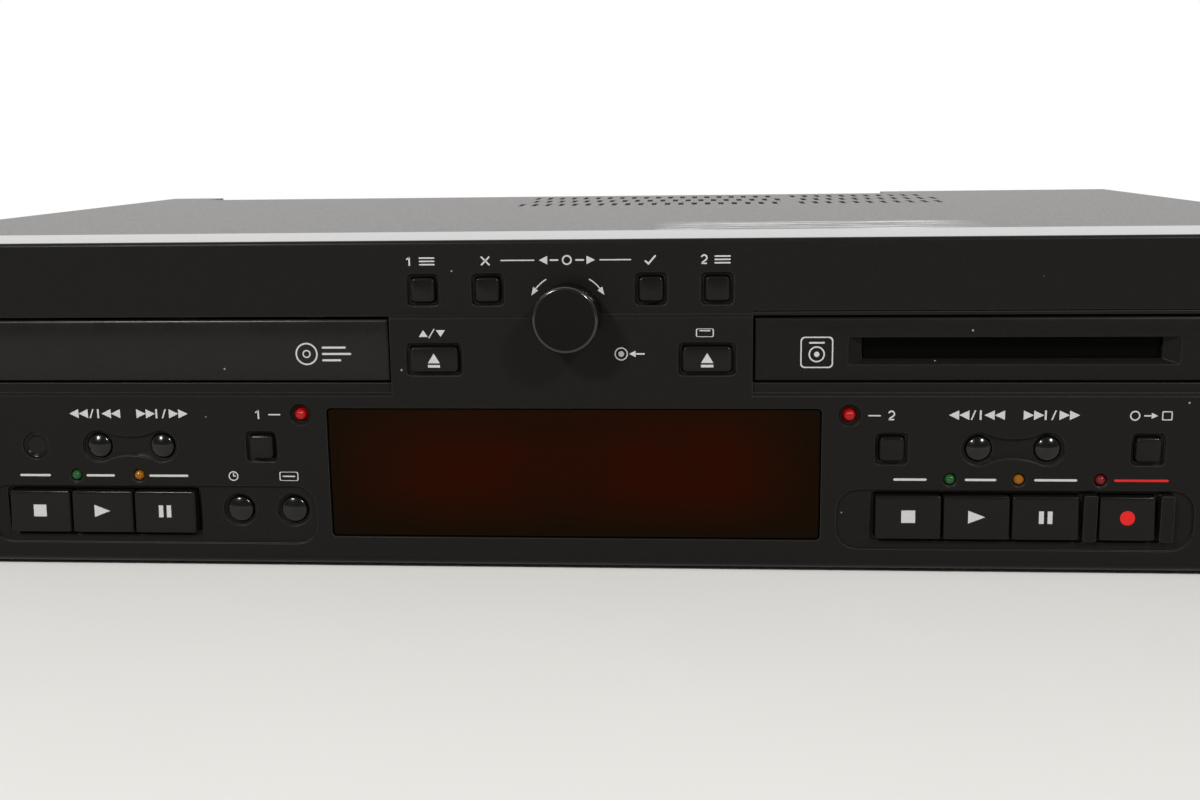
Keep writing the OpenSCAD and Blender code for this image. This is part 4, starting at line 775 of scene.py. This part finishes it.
class DeckStage(bpy.types.PropertyGroup):
    """Camera, lamps and floor."""

    lens: bpy.props.FloatProperty(
        name="Lens", description="Focal length on a 36 mm sensor",
        default=40.26, min=20, max=200, subtype="DISTANCE_CAMERA")
    key_power: bpy.props.FloatProperty(
        name="Key lamp", description="Power of the lamp at the left",
        default=13.5, min=0.0, subtype="POWER")
    fill_power: bpy.props.FloatProperty(
        name="Fill lamp", description="Power of the lamp at the right",
        default=11.0, min=0.0, subtype="POWER")
    sky: bpy.props.FloatProperty(
        name="Sky", description="Light that the room gives from all round",
        default=0.19, min=0.0, max=1.0)
    floor: bpy.props.FloatVectorProperty(
        name="Floor", description="Colour of the floor",
        default=srgb("#e9e7e2")[:3], min=0.0, max=1.0, subtype="COLOR")


# ---------------------------------------------------------------- pieces


def cap_profile(face):
    """Front, rounded edge, side and flange of a pushbutton, as (inset, depth) pairs."""
    flange = [(0, FLANGE), (-1, FLANGE), (-1, FLANGE_BACK), (1.6, FLANGE_BACK)]
    return [*rounded(0.7, face - CAP_OUT), *flange]


class DECK_OT_finishes(bpy.types.Operator):
    """Every finish, from the colours above; the pieces take theirs from it"""

    bl_idname = "deck.finishes"
    bl_label = "Finishes"

    def execute(self, context):
        mix_finishes(context.scene.deck_colours)
        return {"FINISHED"}


class DECK_OT_panel(bpy.types.Operator):
    """Moulded front panel with its rounded edges"""

    bl_idname = "deck.panel"
    bl_label = "Panel"

    def execute(self, context):
        edge = context.scene.deck_sizes.edge / MM
        panel = eased("fascia", "deck", "panel", edge, True)
        # the panel's upper edge was scraped and polished by the rack that held it
        head = (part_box("fascia")[1].z / MM) - 0.05
        parted(panel, ("rim", lambda x, y, z: z > head))
        return {"FINISHED"}


class DECK_OT_buttons(bpy.types.Operator):
    """Square, wide and round pushbuttons"""

    bl_idname = "deck.buttons"
    bl_label = "Pushbuttons"

    def execute(self, context):
        crown = context.scene.deck_sizes.crown / MM
        square, wide, broad = (6.4, 6.4), (12.8, 6.7), (15.0, 8.0)
        for node, x, z, size, face in (
            ("player_menu_button", -MENU_X, MENU_ROW, square, 0.0),
            ("recorder_menu_button", MENU_X, MENU_ROW, square, 0.0),
            ("no_button", -ANSWER_X, MENU_ROW, square, 0.0),
            ("yes_button", ANSWER_X, MENU_ROW, square, 0.0),
            ("player_select_button", -SELECT_X, SKIP_ROW, square, FACE),
            ("recorder_select_button", SELECT_X, SKIP_ROW, square, FACE),
            ("dubbing_button", DUBBING_X, SKIP_ROW, square, FACE),
            ("tray_button", -OPEN_X, OPEN_ROW, wide, FACE),
            ("eject_button", OPEN_X, OPEN_ROW, wide, FACE),
            ("power_button", POWER_X, SKIP_ROW, broad, FACE),
        ):
            parts, finishes = [skin(rows_of(*size, 1.1, cap_profile(face), x, z))], ["cap"]
            if size == wide:
                mark = area((x - 1.6, z - 0.9), (x + 1.6, z - 0.9), (x, z + 1.7))
                parts += inked([mark, block(x, z - 1.7, 3.2, 0.7)], face - CAP_OUT - LIFT, 1)
                finishes.append("ink")
            piece(node + "_cap", parts, finishes, node, (node,))

        for node, x, z, radius, face, rise in (
            ("player_back_button", PLAYER_KEYS[1], SKIP_ROW, 3.35, FACE, crown),
            ("player_ahead_button", PLAYER_KEYS[2], SKIP_ROW, 3.35, FACE, crown),
            ("recorder_back_button", RECORDER_KEYS[1], SKIP_ROW, 3.35, FACE, crown),
            ("recorder_ahead_button", RECORDER_KEYS[2], SKIP_ROW, 3.35, FACE, crown),
            ("time_button", ROUND_X[0], ROUND_ROW, 3.55, ZONE, 0.8 * crown),
            ("display_button", ROUND_X[1], ROUND_ROW, 3.55, ZONE, 0.8 * crown),
        ):
            # dome: depth falls as rise times the square of the distance from the middle
            r = np.linspace(0.04, 0.93, 9)
            front = face - CAP_OUT
            dome = np.column_stack((r * radius, front + rise * r**2))
            side = [
                (0.985 * radius, front + rise + 0.12), (radius, front + rise + 0.45), (radius, FLANGE),
                (radius + 0.8, FLANGE), (radius + 0.8, FLANGE_BACK), (1.5, FLANGE_BACK)]
            parts = [skin(turned(np.vstack((dome, side)), x, z))]
            piece(node + "_cap", parts, ("dome",), node, (node,))
        return {"FINISHED"}


class DECK_OT_keys(bpy.types.Operator):
    """Transport keys with their printed symbols"""

    bl_idname = "deck.keys"
    bl_label = "Transport keys"

    def execute(self, context):
        z = KEY_ROW + 0.25
        symbols = {
            "stop": lambda x: [block(x, z, 3.6, 3.3)],
            "play": lambda x: [area((x - 2.2, z - 1.7), (x + 2.2, z), (x - 2.2, z + 1.7))],
            "pause": lambda x: [block(x - 1.1, z, 1.25, 3.3), block(x + 1.1, z, 1.25, 3.3)],
            "record": lambda x: [disc(x, z, 1.9)],
        }
        keys = []
        for deck, places in (("player", PLAYER_KEYS), ("recorder", RECORDER_KEYS)):
            keys += [(f"{deck}_{s}_key", x, 17.0, s, 1) for s, x in zip(("stop", "play", "pause"), places)]
        keys.append(("record_key", RECORD_X, 14.1, "record", 2))
        # the front leans back towards its head; the flange behind it stands upright
        lean, height = 0.07, 11.5
        front = FACE - 1.05
        profile = [(4.0, front, lean), (1.4, front, lean)]
        profile += [(inset, depth, lean) for inset, depth in rounded(0.5, front)]
        profile += [(0, FLANGE), (-0.9, FLANGE), (-0.9, FLANGE_BACK), (1.5, FLANGE_BACK)]
        for node, x, width, symbol, ink in keys:
            rows = rows_of(width, height, 0.7, profile, x, KEY_ROW)
            # the flange reaches out above and below only, as the next key stands close beside
            reach = width / 2 - 0.1
            rows[-3:-1, :, 0] = np.clip(rows[-3:-1, :, 0], x - reach, x + reach)
            parts = [skin(rows)]
            for shape in symbols[symbol](x):
                parts.append(flat(shape, front + lean * (shape[:, 1] - KEY_ROW) - LIFT, ink))
            piece(node + "_cap", parts, ("cap", "ink", "red_ink"), node, (node,))
        return {"FINISHED"}


class DECK_OT_knobs(bpy.types.Operator):
    """Jog knob and the two level knobs"""

    bl_idname = "deck.knobs"
    bl_label = "Knobs"

    def execute(self, context):
        self.jog()
        for node, x, radius in (("phones_knob", LEVEL_X, 6.0), ("input_knob", INPUT_X, 8.0)):
            self.level(node, x, radius)
        return {"FINISHED"}

    def jog(self):
        """A shallow dish with a polished round rim, turned about the jog's shaft."""
        front, back, radius, edge, socket = -12.2, -2.2, 8.6, 0.8, 3.2
        dish = [(0.1, 0.15), (5.2, 0.12), (6.9, 0.05), (radius - edge - 0.15, 0.0)]
        dish = [(r, front + depth) for r, depth in dish]
        rim = [(radius - 0.12 - inset, depth) for inset, depth in rounded(edge, front, 8)]
        rim += [(radius, back - 0.5), (radius - 0.25, back), (socket, back), (socket, back - 6)]
        rows = turned(dish + rim, 0, JOG_ROW, 96)
        parts = [skin(rows[: len(dish) + 1], 0, True, False), skin(rows[len(dish) :], 1, False, True)]
        piece("jog_knob_grip", parts, ("knob", "knob_rim"), "jog_knob", ("jog_knob",))

    def level(self, node, x, radius):
        """A knob with a printed pointer, fluted: the grip's radius times 1 - 0.01 (1 + cos 24a)."""
        front, back, stem, stem_end = -10.6, -1.6, 2.0, 8.8
        profile = [(0.1, front + 0.2), (radius - 1.6, front + 0.1), (radius - 1.0, front)]
        profile += [(radius - 0.1 - inset, depth) for inset, depth in rounded(0.7, front, 8)]
        grip = slice(len(profile) - 3, len(profile))
        profile += [(radius - 0.1, back - 0.4), (radius - 0.4, back), (stem, back), (stem, stem_end)]
        rows = turned(profile, x, KEY_ROW, 96)
        middle = (x, KEY_ROW)
        off = rows[grip][..., [0, 2]] - middle
        a = np.arctan2(off[..., 1], off[..., 0])[..., None]
        rows[grip, :, ::2] = middle + off * (1 - 0.01 * (1 + np.cos(24 * a)))
        pointer = stroke(x, KEY_ROW + radius * 0.35, x, KEY_ROW + radius - 1.3, 0.7)
        parts = [skin(rows), flat(pointer, front - LIFT, 1)]
        piece(node + "_grip", parts, ("knob", "ink"), node, (node,))


class DECK_OT_lights(bpy.types.Operator):
    """Select and status lights, the sensor and the display"""

    bl_idname = "deck.lights"
    bl_label = "Lights and windows"

    def execute(self, context):
        def bulb(x, z, radius, finish):
            """A half ball, radius (sin a, -cos a), on a round stem."""
            a = np.radians(np.linspace(2, 90, 12))
            middle = FACE + radius - 0.6
            ball = np.column_stack((radius * np.sin(a), middle - radius * np.cos(a)))
            return skin(turned(np.vstack((ball, [(radius, 9.3)])), x, z), finish)

        parts = [bulb(x, LIGHT_ROW, 1.65, 0) for x in (-LIGHT_X, LIGHT_X)]
        # the status lights stand 7 mm left of their keys' middles
        keys = (*PLAYER_KEYS[1:], *RECORDER_KEYS[1:], RECORD_X)
        parts += [bulb(x - 7, STATUS_ROW, 1.35, finish) for x, finish in zip(keys, (1, 2, 1, 2, 3))]
        finishes = ("lit", "green", "amber", "dull_red")
        piece("lights", parts, finishes, "deck", ("indicator_lights",))

        # sensor: a shallow bead in a ring, with its flange behind the panel
        bead = [(0.05, 1.1), (1.4, 1.08), (2.5, 0.95), (2.75, 0.6), (3.1, 0.35), (3.4, 0.3), (3.6, 0.5)]
        profile = [(r, FACE + depth) for r, depth in bead] + [(3.6, 3), (4.6, 3), (4.6, 4), (1, 4)]
        parts = [skin(turned(profile, SENSOR_X, SKIP_ROW))]
        piece("sensor_lens", parts, ("cap",), "deck", ("sensor_window",))

        # display: a pane with its edge broken, and a flange cut short above and below
        row, reach = 26.9, 18.4
        profile = [(4, FACE + 0.5), (0.3, FACE + 0.5), (0, FACE + 0.8)]
        profile += [(0, 3.0), (-2.2, 3.0), (-2.2, 4.0), (5, 4.0)]
        rows = rows_of(130.8, 35.2, 1.0, profile, 0, row)
        rows[3:6, :, 2] = np.clip(rows[3:6, :, 2], row - reach, row + reach)
        piece("display_pane", [skin(rows)], ("window",), "deck", ("display_window",))
        eased("display_module", "deck", "tube", 0.3)
        return {"FINISHED"}


class DECK_OT_tray(bpy.types.Operator):
    """Tray front and slot plate, both slightly bowed, and the flap"""

    bl_idname = "deck.tray_front"
    bl_label = "Tray front and slot plate"

    def execute(self, context):
        foot, head = FRONTS
        middle, height, width = (foot + head) / 2, head - foot, 131.4

        def bowed(rows):
            """The face stands out by BOW times 1 - s cubed, s from 0 at mid height to 1 at its ends."""
            s = np.abs((rows[..., 2] - middle) / height * 2).clip(0, 1)
            return rows[..., 1] + BOW_EDGE - BOW * (1 - s**3)

        edge = [(0.55, 0.0), (0.3, 0.04), (0.12, 0.14), (0.0, 0.35)]
        insets = [(t, 0.0) for t in (8.2, 7.6, 6.8, 5.8, 4.6, 3.4, 2.4, 1.6, 1.0)]
        rows = rows_of(width, height, 0.5, insets + edge + [(0, 2.6)], -DECK_X, middle)
        rows[:-1, :, 1] = bowed(rows[:-1])
        piece("tray_front_shell", [skin(rows)], ("tray",), "tray", ("tray_front",))

        # slot plate: rings go from the outer edge in to the bevel, then down it into the slot,
        # and from there back round the rim, so that the plate closes on itself
        mouth_row = SLOT_ROW - 0.4
        outer = rows_of(width, height, 0.5, edge[::-1], DECK_X, middle)
        mouth = rows_of(83.4, 7.3, 0.4, [(0, 0.0)], DECK_X, mouth_row)[0]
        steps = np.linspace(0, 1, 10)[1:, None, None]
        face = np.concatenate((outer, outer[-1] * (1 - steps) + mouth * steps))
        face[..., 1] = bowed(face)
        lip = face[-1].copy()
        lip[:, 1] += 0.12
        lip[:, (0, 2)] = (lip[:, (0, 2)] - (DECK_X, mouth_row)) * (0.998, 0.97) + (DECK_X, mouth_row)
        throat = rows_of(75.9, 5.8, 0.35, [(0, 2.2), (0, 4.0)], DECK_X, SLOT_ROW)
        rim = rows_of(width, height, 0.5, [(0, 3.0), (-1.9, 3.0), (-1.9, 4.0)], DECK_X, middle)
        rim[1:, :, 2] = np.clip(rim[1:, :, 2], 49.4, 69.5)
        rows = np.concatenate((rim[::-1], face, lip[None], throat, rim[-1:]))
        parts = [skin(rows, first=False, last=False)]
        piece("slot_plate_shell", parts, ("panel",), "deck", ("slot_plate",))
        eased("slot_flap", "flap", "flap", 0.2, True)
        return {"FINISHED"}


class DECK_OT_ink(bpy.types.Operator):
    """Printed symbols, rules and plain bars"""

    bl_idname = "deck.ink"
    bl_label = "Print"

    def execute(self, context):
        parts = strip_print(context.scene.deck_sizes.rule / MM) + face_print()
        piece("panel_print", parts, ("ink", "red_ink"), "deck")

        # on the bowed fronts the print lies on the part that stands out furthest
        depth = BOW_EDGE - BOW - 0.05
        x, z = -70.2, PUSH_ROW
        marks = [band(disc(x, z, 3.0, 40), 0.42, depth), band(disc(x, z, 1.1), 0.35, depth)]
        rules = ((1.7, 6.0), (0.0, 7.4), (-1.7, 4.6))
        marks += inked([stroke(x + 4.4, z + k, x + 4.4 + width, z + k, 0.55) for k, width in rules], depth)
        piece("tray_mark", marks, ("ink",), "tray")
        x, z = 64.0, 58.9
        frame_line = outline(8.4, 8.2, 1.1) + (x, z + 0.5)
        marks = [band(frame_line, 0.42, depth), band(disc(x, z, 2.1, 32), 0.38, depth)]
        marks += inked([disc(x, z, 0.7), stroke(x - 1.8, z + 3.0, x + 1.8, z + 3.0, 0.45)], depth)
        piece("slot_mark", marks, ("ink",), "deck")
        return {"FINISHED"}


class DECK_OT_casing(bpy.types.Operator):
    """Cover, rack ears, chassis, rear panel, feet and screws"""

    bl_idname = "deck.casing"
    bl_label = "Casing"

    def execute(self, context):
        eased("top_cover", "deck", "cover", 0.25)
        eased("rack_ears", "deck", "enamel", 0.35)
        eased("bottom_chassis", "deck", "zinc", 0.2)
        eased("rear_panel", "deck", "enamel", 0.15, True)
        eased("casing_screws", "deck", "blackened", 0.12)
        # a foot: (radius, height) pairs from its top, over the round edge, to the screw's recess
        foot = [(0.1, 4.0), (13.0, 4.0), (13.0, 1.0)]
        foot += [(13.0 - inset, height) for inset, height in rounded(1.0, 0.0)[::-1]]
        foot += [(4.6, 0.0), (4.2, 0.3), (4.0, 2.2), (0.1, 2.2)]
        # turned about an upright line: depth and height change places
        parts = [skin(turned(foot, x, y, 64)[..., [0, 2, 1]]) for x in (-180, 180) for y in (48, 258)]
        piece("rubber_feet", parts, ("rubber",), "deck", ("feet",))
        return {"FINISHED"}


class DECK_OT_sockets(bpy.types.Operator):
    """Phono sockets, mains inlet and phones socket"""

    bl_idname = "deck.sockets"
    bl_label = "Sockets"

    def execute(self, context):
        sockets = eased("rear_sockets", "deck", "socket", 0.2)
        back = (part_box("rear_panel")[1].y - PANEL_Y) / MM
        places = np.array([(x, z) for x in PHONO_X for z in PHONO_ROWS][:-1])

        def off(x, z):
            """Distance to the nearest phono socket's middle."""
            return np.linalg.norm(np.stack((x, z), -1)[:, None, :] - places, axis=-1).min(1)

        def on_pin(x, y, z):
            """Inside the inlet, where its pins stand."""
            inside = (np.abs(x - INLET_X) < 8.2) & (np.abs(z - INLET_ROW) < 4.2)
            return inside & (y > back - 15.5) & (y < back - 2.5)

        parted(
            sockets,
            ("nickel", lambda x, y, z: (off(x, z) < 4.4) & (y > back - 2.0)),
            ("brass", lambda x, y, z: (off(x, z) < 1.7) & (y > back - 2.2)),
            ("nickel", on_pin),
        )
        # the sleeves' ends are drawn in a little, which leaves room for the insulators' rings:
        # white above for left, red below for right
        end = (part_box("rear_sockets")[1].y - PANEL_Y) / MM
        points = np.empty(3 * len(sockets.data.vertices), np.float32)
        sockets.data.vertices.foreach_get("co", points)
        points[1::3] = np.minimum(points[1::3], PANEL_Y + (end - RING_PROUD) * MM)
        sockets.data.vertices.foreach_set("co", points)
        sockets.data.update()
        # a ring's (radius, depth) pairs, back to where they began
        profile = [(3.05, -0.4), (3.05, -0.1), (2.9, 0.0), (1.8, 0.0), (1.65, -0.1), (1.65, -0.4)]
        profile = np.array(profile + profile[:1]) + (0.0, end)
        rings = [skin(turned(profile, x, z, 32), int(z == PHONO_ROWS[0]), False, False) for x, z in places]
        piece("phono_rings", rings, ("white_ring", "red_ring"), "deck")
        eased("phones_jack", "deck", "socket", 0.2)
        return {"FINISHED"}


class DECK_OT_mechanism(bpy.types.Operator):
    """Loading mechanisms, boards and transformer"""

    bl_idname = "deck.mechanism"
    bl_label = "Mechanism"

    def execute(self, context):
        for node, body, slot, finish, edge in (
            ("front_board", "deck", "circuit_board", "laminate", 0.1),
            ("main_board", "deck", "circuit_board", "laminate", 0.2),
            ("transformer", "deck", "core_steel", "steel", 0.4),
            ("tray_frame", "deck", "grey_moulding", "grey", 0.3),
            ("disc_tray", "tray", "black_plastic", "panel", 0.2),
            ("loading_gear", "loading_gear", "white_moulding", "acetal", 0.06),
            ("loading_motor", "deck", "core_steel", "steel", 0.3),
            ("motor_pinion", "motor_pinion", "white_moulding", "acetal", 0.06),
            ("disc_traverse", "traverse", "grey_moulding", "grey", 0.25),
            ("disc_turntable", "turntable", "core_steel", "steel", 0.15),
            ("disc_sled", "sled", "grey_moulding", "cap", 0.15),
            ("clamp_bridge", "deck", "core_steel", "zinc", 0.2),
            ("disc_clamper", "clamper", "black_plastic", "cap", 0.2),
            ("slot_frame", "deck", "zinc_steel", "zinc", 0.3),
            ("cartridge_holder", "holder", "core_steel", "steel", 0.12),
            ("cartridge_turntable", "cartridge_turntable", "core_steel", "nickel", 0.12),
            ("recorder_sled", "recorder_sled", "grey_moulding", "cap", 0.15),
            ("jog_shaft", "jog_shaft", "core_steel", "steel", 0.2),
        ):
            shell = eased(node, body, finish, edge, node in ("tray_frame", "disc_traverse"))
            regions = self.regions(node)
            if regions:
                parted(shell, *regions)
        return {"FINISHED"}

    def regions(self, node):
        """The parts of a bought-in piece that are of another stuff than the rest."""
        low, high = (np.array(corner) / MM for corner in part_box(node))
        front, back = low[1] - PANEL_Y / MM, high[1] - PANEL_Y / MM
        if node == "transformer":
            # the winding's ends stand out of the core
            return [("copper", lambda x, y, z: (y < front + 5.9) | (y > back - 5.9))]
        if node == "main_board":
            # chips and capacitors, then the heat sink's fins and the large capacitors' tops
            top = low[2] + 1.7
            return [
                ("socket", lambda x, y, z: z > top),
                ("steel", lambda x, y, z: (z > top) & (np.abs(x + 60) < 16) & (y > back - 35)),
                ("steel", lambda x, y, z: (z > top + 24) & (x < -17) & (y < back - 35)),
            ]
        if node == "front_board":
            # the switches' tops
            return [("steel", lambda x, y, z: y < front + 1.0)]
        return []


class DECK_OT_stage(bpy.types.Operator):
    """Camera at the photograph's place, soft lamps, pale floor and white surroundings"""

    bl_idname = "deck.stage"
    bl_label = "Stage"

    def execute(self, context):
        scene = context.scene
        stage = scene.deck_stage
        camera = bpy.data.objects.new("camera", bpy.data.cameras.new("camera"))
        scene.collection.objects.link(camera)
        camera.data.lens = stage.lens
        camera.data.sensor_width = 36
        camera.data.clip_start = 0.01
        # turned to the left, tilted down and rolled a little, from looking straight at the panel
        turn = Matrix.Identity(4)
        for degrees, axis in ((4.315, "Z"), (-11.04, "X"), (0.775, "Y"), (90, "X")):
            turn = turn @ Matrix.Rotation(math.radians(degrees), 4, axis)
        camera.matrix_world = Matrix.Translation(at((33.8, -345.8, 114.4)).tolist()) @ turn
        scene.camera = camera

        lamp_size = 0.17
        for name, spot, power in (
            ("key_lamp", (-0.6, -1.1, 0.85), stage.key_power),
            ("fill_lamp", (0.75, -1.0, 0.9), stage.fill_power),
        ):
            lamp = bpy.data.objects.new(name, bpy.data.lights.new(name, "AREA"))
            scene.collection.objects.link(lamp)
            lamp.data.energy = power
            lamp.data.size = lamp_size
            lamp.location = spot
            lamp.rotation_euler = (-lamp.location.normalized()).to_track_quat("-Z", "Y").to_euler()

        self.surround(scene, stage.sky)
        scene.view_settings.view_transform = "Standard"

        # a round floor, 5 m across
        around = 96
        rim = np.column_stack((circle(2500.0, around) * MM, np.zeros(around)))
        mesh = bpy.data.meshes.new("floor")
        mesh.from_pydata(rim, [], [list(range(around))])
        mesh.materials.append(painted_table("painted_table", stage.floor))
        floor = bpy.data.objects.new("floor", mesh)
        scene.collection.objects.link(floor)
        return {"FINISHED"}

    def surround(self, scene, strength):
        """A dim room that lights the deck, with a white wall that the camera sees behind it.

        Gloss mirrors the wall where it looks backwards, and the dimmer room in front.
        """
        world = bpy.data.worlds.new("studio")
        scene.world = world
        world.use_nodes = True
        tree = world.node_tree
        room = tree.nodes["Background"]
        room.inputs["Color"].default_value = (0.97, 0.98, 1.0, 1.0)
        room.inputs["Strength"].default_value = strength
        wall = add(tree, "Background", {"Color": (1, 1, 1, 1), "Strength": 1.0})
        kinds = ("Is Glossy Ray", "Is Camera Ray", "Is Transmission Ray")
        glossy, *plain = (add(tree, "LightPath", out=kind) for kind in kinds)
        heading = add(tree, "SeparateXYZ", (add(tree, "TexCoord", out="Generated"),), "Y")
        backwards = add(tree, "MapRange", (heading, -0.35, 0.15))
        seen = add(tree, "Math", (glossy, backwards), operation="MULTIPLY")
        for ray in plain:
            seen = add(tree, "Math", (seen, ray), operation="MAXIMUM")
        both = add(tree, "MixShader", (seen, room.outputs[0], wall))
        tree.links.new(both, tree.nodes["World Output"].inputs["Surface"])


class DECK_PT_panel(bpy.types.Panel):
    """Lists the settings and the operators"""

    bl_idname = "DECK_PT_panel"
    bl_label = "Minidisc deck"
    bl_space_type = "VIEW_3D"
    bl_region_type = "UI"
    bl_category = "Deck"

    def draw(self, context):
        scene = context.scene
        for group in (scene.deck_colours, scene.deck_sizes, scene.deck_stage):
            box = self.layout.box()
            for key in group.__annotations__:
                box.prop(group, key)
        for operator in OPERATORS:
            self.layout.operator(operator.bl_idname)


OPERATORS = (
    DECK_OT_finishes, DECK_OT_stage, DECK_OT_panel, DECK_OT_ink, DECK_OT_buttons, DECK_OT_keys,
    DECK_OT_knobs, DECK_OT_lights, DECK_OT_tray, DECK_OT_casing, DECK_OT_sockets, DECK_OT_mechanism,
)
CLASSES = (DeckColours, DeckSizes, DeckStage, *OPERATORS, DECK_PT_panel)


def register():
    for cls in CLASSES:
        bpy.utils.register_class(cls)
    bpy.types.Scene.deck_colours = bpy.props.PointerProperty(type=DeckColours)
    bpy.types.Scene.deck_sizes = bpy.props.PointerProperty(type=DeckSizes)
    bpy.types.Scene.deck_stage = bpy.props.PointerProperty(type=DeckStage)


def unregister():
    del bpy.types.Scene.deck_stage
    del bpy.types.Scene.deck_sizes
    del bpy.types.Scene.deck_colours
    for cls in reversed(CLASSES):
        bpy.utils.unregister_class(cls)


def main():
    register()
    for operator in OPERATORS:
        group, name = operator.bl_idname.split(".")
        getattr(getattr(bpy.ops, group), name)()


if __name__ == "__main__":
    main()
